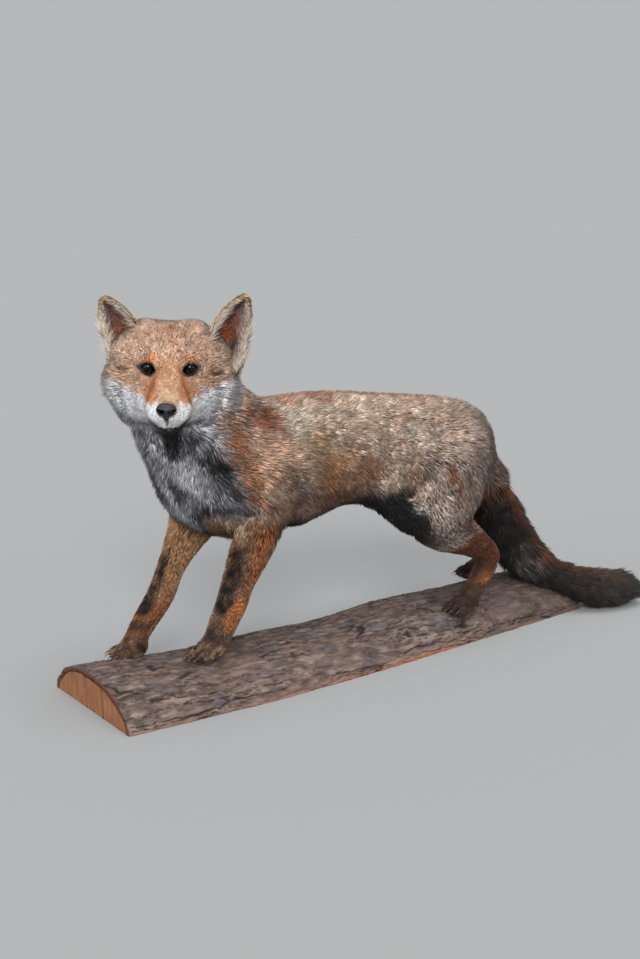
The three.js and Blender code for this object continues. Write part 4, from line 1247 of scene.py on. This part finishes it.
def ear_with_fields(tip, rise, opening):
    points, quads, marks = ear_net(tip, rise, opening)
    axis, front = (head_turn(v) for v in ear_axes(rise, opening))
    inner = marks[:, 2] > 0.5
    lean = -np.cross(axis, front) * marks[:, 1:2] * np.where(inner, 1.5, 0.1)[:, None]
    way = unit(axis + lean + np.where(inner[:, None], front * 0.4, 0))
    depth = np.where(inner, 0.8 + 5.0 * step(0.35, 0.95, np.abs(marks[:, 1])), 1.6)
    none, all_of_it = np.zeros(len(points)), np.ones(len(points))
    return points, quads, dict(N=normals_of(points, quads), way=way, depth=depth,
                               colour=ear_colour(marks, points), share=all_of_it, tail=none,
                               foot=none, ear=marks, is_ear=all_of_it)


def build_skin():
    parts = [body_with_fields(), *(ear_with_fields(*ear) for ear in EARS)]
    points, quads = join_parts([part[:2] for part in parts])
    fields = {key: np.concatenate([part[2][key] for part in parts]) for key in parts[0][2]}
    skin = make_piece("skin", points, quads, fur_material("skin_under_coat", 700.0, 0.1),
                      FLESH, fields["colour"] * UNDER_COAT)
    return skin, points, quads, fields


def unwrap(skin):
    """Unwraps the skin on its own shape, and gives the place of every corner of every quad."""
    bpy.context.view_layer.objects.active = skin
    skin.select_set(True)
    skin.data.uv_layers.new(name="OFBake")
    bpy.ops.object.mode_set(mode="EDIT")
    bpy.ops.mesh.select_all(action="SELECT")
    bpy.ops.uv.smart_project(angle_limit=math.radians(66), island_margin=0.002)
    bpy.ops.object.mode_set(mode="OBJECT")
    skin.select_set(False)
    uv = np.empty(len(skin.data.loops) * 2, np.float32)
    skin.data.uv_layers["OFBake"].data.foreach_get("uv", uv)
    return uv.reshape(-1, 4, 2)


# ---- locks of hair

# piece: locks, length over depth of coat, shortest, half width, how far tips stray, shag,
# size of its tufts, how far each tuft's tips gather, how much it is ticked, and the nodes it covers
COAT = {
    "coat_face": (32000, 1.7, 3.8, 0.40, 0.16, 0.3, 2.8, 0.30, 0.5, "face muzzle lower_jaw"),
    "coat_crown": (17000, 1.7, 6.0, 0.42, 0.20, 1.0, 3.2, 0.34, 1.0, "head"),
    "coat_ruff": (22000, 1.6, 9.0, 0.54, 0.32, 5.0, 6.0, 0.45, 1.0, "head face"),
    "coat_ears": (14000, 1.8, 3.6, 0.38, 0.25, 0.0, 3.5, 0.0, 0.8, "ear_left ear_right"),
    "coat_neck": (14000, 1.6, 9.0, 0.62, 0.24, 2.5, 6.0, 0.40, 1.0, "neck"),
    "coat_bib": (22000, 1.25, 9.0, 0.58, 0.42, 4.0, 5.0, 0.42, 1.0, "neck chest"),
    "coat_shoulders": (18000, 1.55, 9.0, 0.58, 0.22, 2.0, 5.0, 0.36, 1.0, "chest"),
    "coat_barrel": (24000, 1.55, 9.0, 0.58, 0.20, 1.5, 4.6, 0.34, 1.0, "barrel"),
    "coat_rump": (17000, 1.55, 9.0, 0.60, 0.20, 2.0, 4.6, 0.34, 1.0, "hindquarters"),
    "coat_thighs": (16000, 1.6, 8.0, 0.58, 0.22, 2.5, 4.6, 0.36, 1.0, "thigh_left thigh_right"),
    "coat_forelegs": (15000, 1.9, 5.0, 0.44, 0.16, 0.5, 3.6, 0.35, 0.6,
                      "upper_arm_left forearm_left upper_arm_right forearm_right"),
    "coat_hindlegs": (9000, 1.9, 5.0, 0.44, 0.16, 0.5, 3.6, 0.35, 0.4, "hock_left hock_right"),
    "coat_paws": (8000, 1.7, 3.8, 0.40, 0.22, 0.3, 3.2, 0.35, 0.9,
                  "forepaw_left forepaw_right hindpaw_left hindpaw_right"),
    "coat_tail": (21000, 2.1, 12.0, 0.64, 0.30, 14.0, 10.0, 0.60, 0.7, "tail_root tail_middle tail_tip"),
}


def piece_of(P, share, tail, foot, ear):
    """Which piece of the coat each place on the skin belongs to."""
    H = in_head(P)
    f, u = H[:, 0], H[:, 2]
    _, y, z = P.T
    rules = [
        ("coat_ears", ear > 0.5),
        ("coat_tail", tail > 0.5),
        ("coat_paws", foot > 0.4),
        ("coat_face", (share > 0.5) & (f > -34) & ((u > -60) | (f > 24))),
        ("coat_crown", (share > 0.5) & (u > -8)),
        ("coat_ruff", share > 0.5),
        ("coat_bib", (y < bib_edge(z) + 14) & (z > 228)),
        ("coat_forelegs", (y < -100) & (z < 222)),
        ("coat_hindlegs", (y > 108) & (z < 156)),
        ("coat_thighs", (y > 50) & (z < 236)),
        ("coat_neck", y < -140),
        ("coat_shoulders", y < -45),
        ("coat_barrel", y < 110),
        ("coat_rump", np.full(len(P), True)),
    ]
    names = np.array([name for name, _ in rules])
    return names[np.argmax(np.stack([rule for _, rule in rules]), axis=0)]


def keep_off(P, ear):
    """Where no hair grows: the eyes' openings, the nose and the slit of the mouth."""
    H = in_head(P)
    bare = np.zeros(len(P), bool)
    for side in (1, -1):
        a, b = lid_plane(H, side)
        bare |= (np.hypot(a / (LID_HALF_WIDTH + 1.2), b / (LID_UPPER + 1.0)) < 1) & (H[:, 0] > -16)
        bare |= line_distance(H, CREASES[0][0], side) < 1.4
    bare |= np.linalg.norm((H - NOSE_AT) / (np.array(NOSE_RADII) + 1.5), axis=1) < 1
    bare |= (np.abs(H[:, 2] - mouth_height(H[:, 0])) < 1.5) & (H[:, 0] > 44)
    bare |= (np.abs(H[:, 2] + 42) < 7) & (np.abs(H[:, 1]) < 1.6) & (H[:, 0] > 64)
    return bare & (ear < 0.5)


def grow_coat(points, quads, fields, uv):
    """Picks the root of every lock, more of them where the hair is short, and makes each piece."""
    corners = np.concatenate([quads[:, [0, 1, 2]], quads[:, [0, 2, 3]]])
    corner_uv = np.concatenate([uv[:, [0, 1, 2]], uv[:, [0, 2, 3]]])
    a, b, c = (points[corners[:, i]] for i in range(3))
    area = np.linalg.norm(np.cross(b - a, c - a), axis=1) / 2
    middle = (a + b + c) / 3

    def on_face(key):
        return fields[key][corners].mean(1)
    where = piece_of(middle, on_face("share"), on_face("tail"), on_face("foot"), on_face("is_ear"))
    buried = (on_face("is_ear") > 0.5) & (in_chunks(skin_field, middle) < -1.0)
    bare = keep_off(middle, on_face("is_ear")) | buried
    below = middle[:, 2] < table(np.abs(middle[:, 0]), [(0, 46), (90, 46), (110, 8)])
    bare |= below & (on_face("foot") > 0.3)
    dense = 1 / (0.6 + 0.11 * on_face("depth"))
    dense = np.where(where == "coat_face", dense * (1 + 1.2 * step(0, 30, in_head(middle)[:, 0])), dense)
    marks = fields["ear"][corners].mean(1)
    dense = dense * (1 + 3 * (marks[:, 2] > 0.5) * step(0.45, 0.8, np.abs(marks[:, 1])))
    material = fur_material("coat_hair", 520.0, 0.05)
    for name, (count, *habit) in COAT.items():
        chance = np.where((where == name) & ~bare, area * dense, 0)
        pick = rng.choice(len(area), count, p=chance / chance.sum())
        r = np.sqrt(rng.random(count))
        s = rng.random(count)
        weights = np.stack([1 - r, r * (1 - s), r * s], 1)

        def at_root(values):
            return (values[corners[pick]] * weights[:, :, None]).sum(1)
        root = at_root(points)
        normal = unit(at_root(fields["N"]))
        way = at_root(fields["way"])
        depth = at_root(fields["depth"][:, None])[:, 0]
        colour = at_root(fields["colour"])
        ear_marks = at_root(fields["ear"])
        place = (corner_uv[pick] * weights[:, :, None]).sum(1)
        make_locks(name, root, normal, way, depth, colour, ear_marks, place, material, habit)


# a lock has a root, three points round its middle and a tip
LOCK_FACES = np.array([[0, 2, 1], [0, 3, 2], [0, 1, 3], [1, 2, 4], [2, 3, 4], [3, 1, 4]])
UV_PATCH = np.array([[0, -1], [1, 0], [-1, 0], [0, 0.2], [0, 1]]) * 0.0015


def tufts_of(root, size):
    """The number of the tuft that each lock belongs to."""
    shifted = root + size * 0.7 * wander3(root, size * 2)
    cell = np.floor(shifted / size).astype(np.int64)
    return np.unique(cell @ [1, 4096, 4096 ** 2], return_inverse=True)[1]


def make_locks(name, root, normal, way, depth, colour, ear_marks, place, material, habit):
    """One piece of the coat: a closed spindle for each lock, leaning from its root along the lie."""
    reach, shortest, width, stray, shag, tuft_size, gather, ticked, nodes = habit
    count = len(root)
    tuft = tufts_of(root, tuft_size)
    members = np.bincount(tuft)
    flat = unit(way - normal * (way * normal).sum(1, keepdims=True))
    across = np.cross(normal, flat)
    swing = (0.30 * wander(root, 24, 0) + 0.22 * wander(root, 8, 1)
             + stray * rng.normal(size=count))
    flat = unit(flat + across * swing[:, None])
    across = np.cross(normal, flat)
    length = np.maximum(depth * reach, shortest) * rng.uniform(0.75, 1.15, count)
    length *= 1 + 0.15 * wander(root, 13, 2) + 0.12 * rng.normal(size=len(members)).clip(-2, 2)[tuft]
    height = depth * rng.uniform(0.35, 0.98, count)
    if name == "coat_ears":
        inner = ear_marks[:, 2] > 0.5
        margin = inner & (np.abs(ear_marks[:, 1]) > 0.38)
        long_hair = rng.uniform(12, 30, count) * step(1.05, 0.45, ear_marks[:, 0])
        length = np.where(margin, np.maximum(long_hair, length), length)
        height = np.where(margin, rng.uniform(0.5, 9, count), height)
    height = np.minimum(height, length * 0.75)
    run = np.sqrt(length ** 2 - height ** 2)
    bend = rng.normal(0, 0.07, count) * length
    tip = root + flat * run[:, None] + normal * height[:, None] + across * bend[:, None]
    centre = np.stack([np.bincount(tuft, tip[:, i]) for i in range(3)], 1) / members[:, None]
    tip += (centre[tuft] - tip) * (gather * rng.uniform(0.5, 1.3, count))[:, None]
    if name != "coat_ears":
        over = in_chunks(outline, tip)
        pull = np.clip(over + 0.5 - shag * rng.random(count) ** 2, -0.25 * depth - 1, 14)
        tip -= normal * pull[:, None]
        # hair lies on what is under it
        sunk = in_chunks(skin_field, tip)
        tip += normal * np.clip(1.0 - sunk, 0, 8)[:, None]
    middle = root * 0.58 + tip * 0.42 + normal * (height * 0.24)[:, None] - across * (bend * 0.3)[:, None]
    wide = width * rng.uniform(0.7, 1.3, count) * (1 + 0.012 * length)
    wing = across * wide[:, None]
    lift = normal * wide[:, None] * 0.9
    points = np.stack([root - normal * 0.8, middle + wing - lift * 0.3, middle - wing - lift * 0.3,
                       middle + lift, tip], 1)
    points[..., 2] = np.maximum(points[..., 2], 0.6)
    faces = (np.arange(count)[:, None, None] * 5 + LOCK_FACES).reshape(-1, 3)
    under, mid, end = lock_colours(root, colour, height / np.maximum(depth, 1), tuft, ticked)
    shades = np.stack([under, mid, mid, mid, end], 1)
    uv = place[:, None, :] + UV_PATCH
    make_piece(name, points.reshape(-1, 3), faces, material, nodes.split(),
               shades.reshape(-1, 3), uv.reshape(-1, 2))


def lock_colours(root, colour, proud, tuft, ticked):
    """Colours at a lock's root, middle and tip: dark below, as dark underfur and as painted shade between the
    locks; banded and ticked above.
    """
    count = len(root)
    tufts = tuft.max() + 1
    tone = 0.12 * wander(root, 7, 1) + 0.10 * ticked * wander(root, 16, 2)
    tone += 0.20 * ticked * rng.normal(size=tufts).clip(-1.8, 1.8)[tuft]
    bright = np.exp(rng.normal(0, 0.15, count) + tone)
    base = colour * bright[:, None]
    kind = rng.random(count) + 0.2 * wander(root, 10, 0) + 0.13 * rng.normal(size=tufts)[tuft]
    dark, pale = (kind < 0.27)[:, None], (kind > 0.78)[:, None]
    tip = np.where(dark, base * (1 - 0.72 * ticked), base * 1.06)
    # dark fur has few pale ticks
    lit = 0.4 * ticked * step(0.0, 0.13, base.mean(1))[:, None]
    tip = np.where(pale, base + (PALE_TICK - base) * lit, tip)
    # the root is darker on locks that lie flat: dark underfur, and painted shade between the tufts
    under = base * np.clip(0.24 + 0.25 * proud, 0.2, 0.5)[:, None]
    mid = np.where(dark, base * (1 - 0.4 * ticked), base * 0.98)
    mid = np.where(pale, base * 1.12, mid)
    return under, mid, tip


# ---- eyes, lids, nose and claws

NOSE_AT = np.array([73.0, -2.0, -31.0])
NOSE_RADII = (8.5, 11.5, 8.0)
GAZE_OUT = math.radians(14)
IRIS_ANGLE = math.radians(46)


def make_eye(side, node, material):
    """A glass eye: dark pupil, brown iris and a slightly proud cornea, on the CAD ball's place."""
    centre = np.array([EYE_BACK, EYE_SIDE * side, 0.0])
    gaze = unit([math.cos(GAZE_OUT), math.sin(GAZE_OUT) * side, 0.11])
    left = unit(np.cross([0, 0, 1.0], gaze))
    up = np.cross(gaze, left)
    rings, ring, spoke = [], [], []
    turn = np.linspace(0, math.tau, 56, endpoint=False)
    for angle in np.linspace(0.012, math.pi - 0.02, 48):
        proud = 0.55 * max(1 - (angle / IRIS_ANGLE) ** 2, 0) ** 1.3
        radius = EYE_RADIUS - 0.15 + proud
        circle = (np.cos(turn)[:, None] * left + np.sin(turn)[:, None] * up) * math.sin(angle)
        rings.append(centre + radius * (gaze * math.cos(angle) + circle))
        # the pupil is a little taller than wide
        slim = 1 + 0.12 * np.cos(turn) ** 2
        ring.append(np.clip(angle / IRIS_ANGLE * slim, 0, 1))
        spoke.append(np.stack([np.cos(turn) * 3, np.sin(turn) * 3, np.full(len(turn), angle)], 1))
    points, quads = ring_net(rings)
    eye = make_piece(node + "_glass", from_head(points), quads, material, [node])
    store(eye, "ring", "FLOAT", np.concatenate(ring))
    store(eye, "spoke", "FLOAT_VECTOR", np.concatenate(spoke))


def store(piece, name, kind, values):
    """Keeps values at a piece's points, for its material to read."""
    layer = piece.data.attributes.new(name, kind, "POINT")
    layer.data.foreach_set("vector" if kind == "FLOAT_VECTOR" else "value",
                           np.asarray(values, np.float32).ravel())


def surface_ahead(l, u):
    """How far forward the skin lies in the head's axes, looking straight back from the front."""
    f = np.linspace(34.0, -30.0, 257)
    F, L = np.meshgrid(f, l, indexing="ij")
    H = np.stack([F, L, np.broadcast_to(u, F.shape)], 2)
    value = in_chunks(skin_field, from_head(H.reshape(-1, 3))).reshape(F.shape)
    return f[np.argmax(value < 0, axis=0)]


def make_lid_rims(side, material):
    """The bare dark margin round the opening of an eye, as a thin closed ring."""
    t = np.linspace(0, math.tau, 72, endpoint=False)
    a = -np.cos(t) * (LID_HALF_WIDTH + 0.1)
    b = np.where(np.sin(t) > 0, lid_edge(a, True), -lid_edge(a, False))
    c, s = math.cos(EYE_SLANT), math.sin(EYE_SLANT)

    def to_sides(a, b):
        return (a * c - b * s + EYE_SIDE) * side, b * c + a * s
    l, u = to_sides(a, b)
    far_l, far_u = to_sides(a * 1.13, b * 1.22)
    skin = surface_ahead(far_l, far_u)
    ball = EYE_BACK + np.sqrt(np.maximum((EYE_RADIUS + 0.7) ** 2 - (l - EYE_SIDE * side) ** 2 - u ** 2, 4))
    f = np.clip(skin - 0.5, ball - 0.2, ball + 3.5)
    for _ in range(3):
        f = (np.roll(f, 1) + f + np.roll(f, -1)) / 3
    spine = np.stack([f, l, u], 1)
    out = unit(np.stack([np.zeros_like(l), far_l - l, far_u - u], 1))
    rings = []
    for angle in np.linspace(0, math.tau, 10, endpoint=False):
        rings.append(spine + out * 1.05 * math.cos(angle) + np.array([0.75, 0, 0]) * math.sin(angle))
    points = np.stack(rings, 1)
    quads = grid_quads(*points.shape[:2], True, True)[:, [0, 3, 2, 1] if side > 0 else [1, 2, 3, 0]]
    name = "lid_rim_left" if side > 0 else "lid_rim_right"
    make_piece(name, from_head(points.reshape(-1, 3)), quads, material, ["face"])


# the hollows of the nostrils and their side slits, and where the painted shade in them ends and starts
NOSTRILS = [(oval([8, 5.3 * s, -0.6], [6.5, 2.9, 2.4]), 1.5, 0.2) for s in (1, -1)]
NOSTRILS += [(oval([6, 9.0 * s, 0.6], [5.2, 3.6, 1.0]), 1.0, 0.1) for s in (1, -1)]


def nose_form(P):
    q = in_head(P) - NOSE_AT
    wings = [oval([1, s * 5.5, -0.5], [8, 6, 6.5]) for s in (1, -1)]
    D = blend(3, [oval([0, 0, 0], NOSE_RADII), *wings, oval([1, 0, -8], [5, 4, 6])])(q)
    for hollow, _, _ in NOSTRILS:
        D = np.maximum(D, -hollow(q))
    groove = hump(0, 1.2, q[:, 1]) * step(1.5, -3, q[:, 2])
    return D + 0.7 * groove - 0.35 * hump(0, 5, q[:, 1]) * step(-4, 2, q[:, 2])


def make_nose():
    middle = from_head(NOSE_AT + [0, 0, -2])
    reach = [spacing([m - 17, m + 17, 0.75]) for m in middle]
    points, quads = net_over(nose_form, *reach)
    q = in_head(points) - NOSE_AT
    leather = Paint(len(points), (50, 48, 59))
    for hollow, end, start in NOSTRILS:
        # painted shade: the nostril hollows are coloured near black
        leather.lay((6, 5, 6), step(end, start, hollow(q)))
    make_piece("nose_leather", points, quads, nose_material(), ["nose"], leather.colour)


def make_claws():
    """A dark curved claw at the tip of each toe, lying on the bark."""
    parts = []
    turn = np.linspace(0, math.tau, 10, endpoint=False)
    for paw in PAWS:
        at, axes = paw_axes(paw)
        for toe in TOES:
            start = np.array(toe_place(toe)) + [PAW_LENGTH * 0.2, 0, 1.0]
            rings = []
            for t in np.linspace(0, 1, 9):
                curve = 2.0 * math.sin(math.pi * 0.75 * t) - 5.5 * t * t
                middle = start + [10.5 * t - 2, 0.6 * toe * t, curve]
                radius = 1.55 * (1 - t) ** 0.7 + 0.12
                rings.append(middle + np.stack([0 * turn, np.cos(turn) * radius * 0.75,
                                                np.sin(turn) * radius], 1))
            points, quads = ring_net(rings)
            parts.append((points @ axes + at, quads))
    points, quads = join_parts(parts)
    make_piece("claws", points, quads, horn_material(),
               ["forepaw_left", "forepaw_right", "hindpaw_left", "hindpaw_right"])


# ---- the log slab

LOG_EDGES = [[-400, -120, 112], [-330, -108, 118], [-190, -94, 125], [-30, -86, 122],
             [160, -90, 108], [400, -88, 90]]
LOG_LENGTH, LOG_HEIGHT, BARK_THICKNESS = 800, 50, 9
SAW_CRACKS = (31, -20)


def log_place(s, y, inset):
    """Places on the slab's round side: s runs from -1 to 1 across it, inset goes inwards."""
    across = np.sin(s * math.pi / 2)
    right = table(y, [(row[0], row[1]) for row in LOG_EDGES]) + inset
    left = table(y, [(row[0], row[2]) for row in LOG_EDGES]) - inset
    swell = 1 + 0.05 * np.sin(y / 90) - 0.04 * np.sin(y / 37 + 2)
    rise = (1 - np.abs(across) ** 2.4 * 0.99999) ** 0.62
    x = (left + right) / 2 + across * (left - right) / 2
    return np.stack([x, y, (LOG_HEIGHT * swell - inset) * rise], -1)


def plates(u, v, layer):
    """Long jittered cells: the gap to the nearest edge, and two random values of the cell."""
    base_u, base_v = np.floor(u).astype(int), np.floor(v).astype(int)
    first = np.full(len(u), 9.0)
    second = np.full(len(u), 9.0)
    tone, lift = np.zeros(len(u)), np.zeros(len(u))
    for i in (-1, 0, 1):
        for j in (-1, 0, 1):
            cu, cv = base_u + i, base_v + j
            dice = DICE[:, cu % LATTICE, cv % LATTICE, layer]
            far = np.hypot(cu + 0.5 + 0.42 * dice[0] - u, cv + 0.5 + 0.42 * dice[1] - v)
            nearer = far < first
            second = np.where(nearer, first, np.minimum(second, far))
            tone = np.where(nearer, dice[2], tone)
            lift = np.where(nearer, DICE[0, cu % LATTICE, cv % LATTICE, layer + 1], lift)
            first = np.where(nearer, far, first)
    return second - first, tone, lift


def bark_relief(P, girth):
    """Depth of the bark's furrows and flakes below its outline, and what its colours need."""
    warp = 6 * wander(P * [1, 0.4, 1], 22, 0) + 2.5 * wander(P, 8, 1)
    u, v = girth + warp, P[:, 1] + 10 * wander(P, 30, 2)
    gap, tone, lift = plates(u / 16, v / 150, 3)
    small_gap, small_tone, small_lift = plates((u + 2 * wander(P, 5, 2)) / 6, v / 30, 7)
    furrow = step(0.11, 0.02, gap) * step(-0.6, 0.2, wander(P * [1, 0.5, 1], 34, 0))
    split = step(0.16, 0.03, small_gap) * step(-0.3, 0.4, wander(P, 22, 1))
    fine = wander(P * [1, 0.45, 1], 2.8, 1)
    coarse = wander(P * [1, 0.5, 1], 6, 2)
    depth = (2.6 * furrow + 1.0 * (0.5 - 0.5 * lift) + 1.2 * split + 1.4 * (0.5 - 0.5 * small_lift)
             + 0.6 * (1 - fine) + 0.5 * (1 - coarse))
    return depth, dict(furrow=furrow, split=split, tone=tone, small=small_tone, lift=small_lift,
                       fine=fine, coarse=coarse)


def bark_colour(P, s, marks):
    paint = Paint(len(P), (100, 85, 79))
    lay = paint.lay
    lay((112, 94, 86), 0.4 * step(0.0, 0.9, marks["tone"]))
    lay((84, 74, 72), 0.4 * step(0.0, -0.9, marks["tone"]))
    lay((142, 126, 116), 0.5 * step(0.2, 0.9, marks["small"] * 0.6 + 0.7 * marks["coarse"]))
    # painted shade: darker where the bark's relief lies low
    lay((66, 54, 49), 0.65 * step(-0.1, -0.8, marks["coarse"] + 0.6 * marks["fine"]))
    lay((120, 84, 66), 0.5 * step(-0.1, -0.8, marks["small"]) * step(0.1, 0.7, marks["fine"]))
    lay((80, 78, 84), 0.45 * step(0.3, 0.9, wander(P * [1, 0.6, 1], 16, 1)))
    rough = wander(P * [1, 0.3, 1], 22, 0)
    # painted shadow: the bark is darker towards the rear end, under the hindquarters and tail
    lay((62, 50, 46), 0.6 * step(100, 300, P[:, 1]))
    lay((134, 98, 82), 0.6 * step(0.82, 0.96, np.abs(s) + 0.06 * rough))
    strip = np.where(s > 0, hump(40, 170, P[:, 1]), 0.15) + 0.3 * rough
    low = table(strip, [(0.0, 1.1), (0.3, 0.975), (1.0, 0.93)])
    lay((148, 84, 50), 0.85 * step(low - 0.01, low + 0.012, np.abs(s)) * step(0.1, 0.4, strip))
    # painted shade: the furrows and splits are coloured dark
    lay((34, 25, 22), 0.9 * step(0.15, 0.8, marks["furrow"]))
    lay((44, 34, 30), 0.6 * marks["split"])
    return paint.colour


def make_bark():
    half = LOG_LENGTH / 2
    ys = np.linspace(-half, half, 341)
    ss = np.linspace(-1, 1, 141)
    S, Y = np.meshgrid(ss, ys)
    rows, columns = S.shape
    s, y = S.ravel(), Y.ravel()
    surface = log_place(s, y, 0.0)
    depth, marks = bark_relief(surface, s * 160)
    outer = log_place(s, y, np.clip(depth, 0, 7.0))
    outer[:, 2] = np.maximum(outer[:, 2], 0.0)
    at_end = np.abs(y) > half - 0.01
    # the sawn ends are a little uneven
    outer[:, 1] -= np.sign(y) * 0.8 * np.abs(wander(outer, 6, 1)) * at_end
    inner = log_place(s, y, BARK_THICKNESS + 1.6 * wander(surface, 17, 2) * at_end)
    inner[:, 2] = np.maximum(inner[:, 2], 0.0)
    count = len(outer)
    last = (rows - 1) * columns
    i, j = np.arange(rows - 1) * columns, np.arange(columns - 1)
    k = i + columns - 1
    faces = [
        grid_quads(rows, columns), grid_quads(rows, columns)[:, ::-1] + count,
        np.stack([j + 1, j, j + count, j + 1 + count], 1),
        np.stack([j + last, j + 1 + last, j + 1 + last + count, j + last + count], 1),
        np.stack([i, i + columns, i + columns + count, i + count], 1),
        np.stack([k + columns, k, k + count, k + columns + count], 1),
    ]
    colour = bark_colour(surface, s, marks)
    colour[at_end] = colour[at_end] * 0.35 + srgb(84, 46, 30) * 0.65
    rim = Paint(count, (96, 52, 32))
    rim.lay((58, 32, 24), step(-0.1, 0.6, wander(inner, 7, 1)))
    make_piece("bark", np.concatenate([outer, inner]), np.concatenate(faces), bark_material(),
               ["log_bark"], np.concatenate([colour, rim.colour]))


def make_wood():
    """The wood inside the bark, with sawn ends showing its rings and cracks."""
    half = LOG_LENGTH / 2 - 0.6
    ss = np.linspace(-1, 1, 121)
    ts = np.linspace(0, 1, 15)
    parts, colours = [], []
    for end in (-1, 1):
        T, S = np.meshgrid(ts, ss, indexing="ij")
        top = log_place(S.ravel(), np.full(S.size, end * half), BARK_THICKNESS + 0.2)
        points = top.copy()
        points[:, 2] = np.maximum(top[:, 2], 0) * T.ravel()
        crack = np.zeros(len(points))
        for at, width in zip(SAW_CRACKS, (2.0, 1.2)):
            wobble = 1.5 * np.sin(points[:, 2] / 6 + at)
            crack = np.maximum(crack, step(width, width * 0.3, np.abs(points[:, 0] - at - wobble)))
        saw = 0.25 * wander(points * [1, 1, 0.3], 3, 0)
        points[:, 1] -= end * (2.5 * crack + 0.3 + saw)
        # the two ends face opposite ways
        parts.append((points, grid_quads(len(ts), len(ss))[:, ::-end]))
        colours.append(wood_colour(points, crack))
    body_y = np.linspace(-half, half, 41)
    S, Y = np.meshgrid(ss[::4], body_y)
    body = log_place(S.ravel(), Y.ravel(), BARK_THICKNESS + 0.2)
    body[:, 2] = np.maximum(body[:, 2], 0)
    under = body.copy()
    under[:, 2] = 0
    for points, order in ((body, 1), (under, -1)):
        parts.append((points, grid_quads(*S.shape)[:, ::order]))
        colours.append(wood_colour(points, np.zeros(len(points))))
    points, quads = join_parts(parts)
    make_piece("wood", points, quads, wood_material(), ["log_wood"], np.concatenate(colours))


def wood_colour(P, crack):
    x, _, z = P.T
    paint = Paint(len(P), (128, 80, 47))
    lay = paint.lay
    ring = np.hypot(x * 0.8, z + 95)
    lay((124, 80, 50), 0.45 * step(0.1, 0.8, np.sin(ring / 1.9) + 0.4 * wander(P, 20, 1)))
    lay((150, 104, 68), 0.5 * step(0.0, 0.8, wander(P * [1, 0.2, 0.2], 4, 2)))
    lay((126, 80, 52), 0.5 * step(0.0, 0.9, wander(P, 26, 0)))
    # painted shade: the cracks in the sawn ends are coloured dark
    lay((60, 36, 26), 0.92 * crack)
    return paint.colour


# ---- everything put together

def main():
    make_camera()
    make_studio()
    skin, points, quads, fields = build_skin()
    uv = unwrap(skin)
    grow_coat(points, quads, fields, uv)
    eyes = eye_material()
    rim = rim_material()
    for side, node in ((1, "eye_left"), (-1, "eye_right")):
        make_eye(side, node, eyes)
        make_lid_rims(side, rim)
    make_nose()
    make_claws()
    make_bark()
    make_wood()


main()
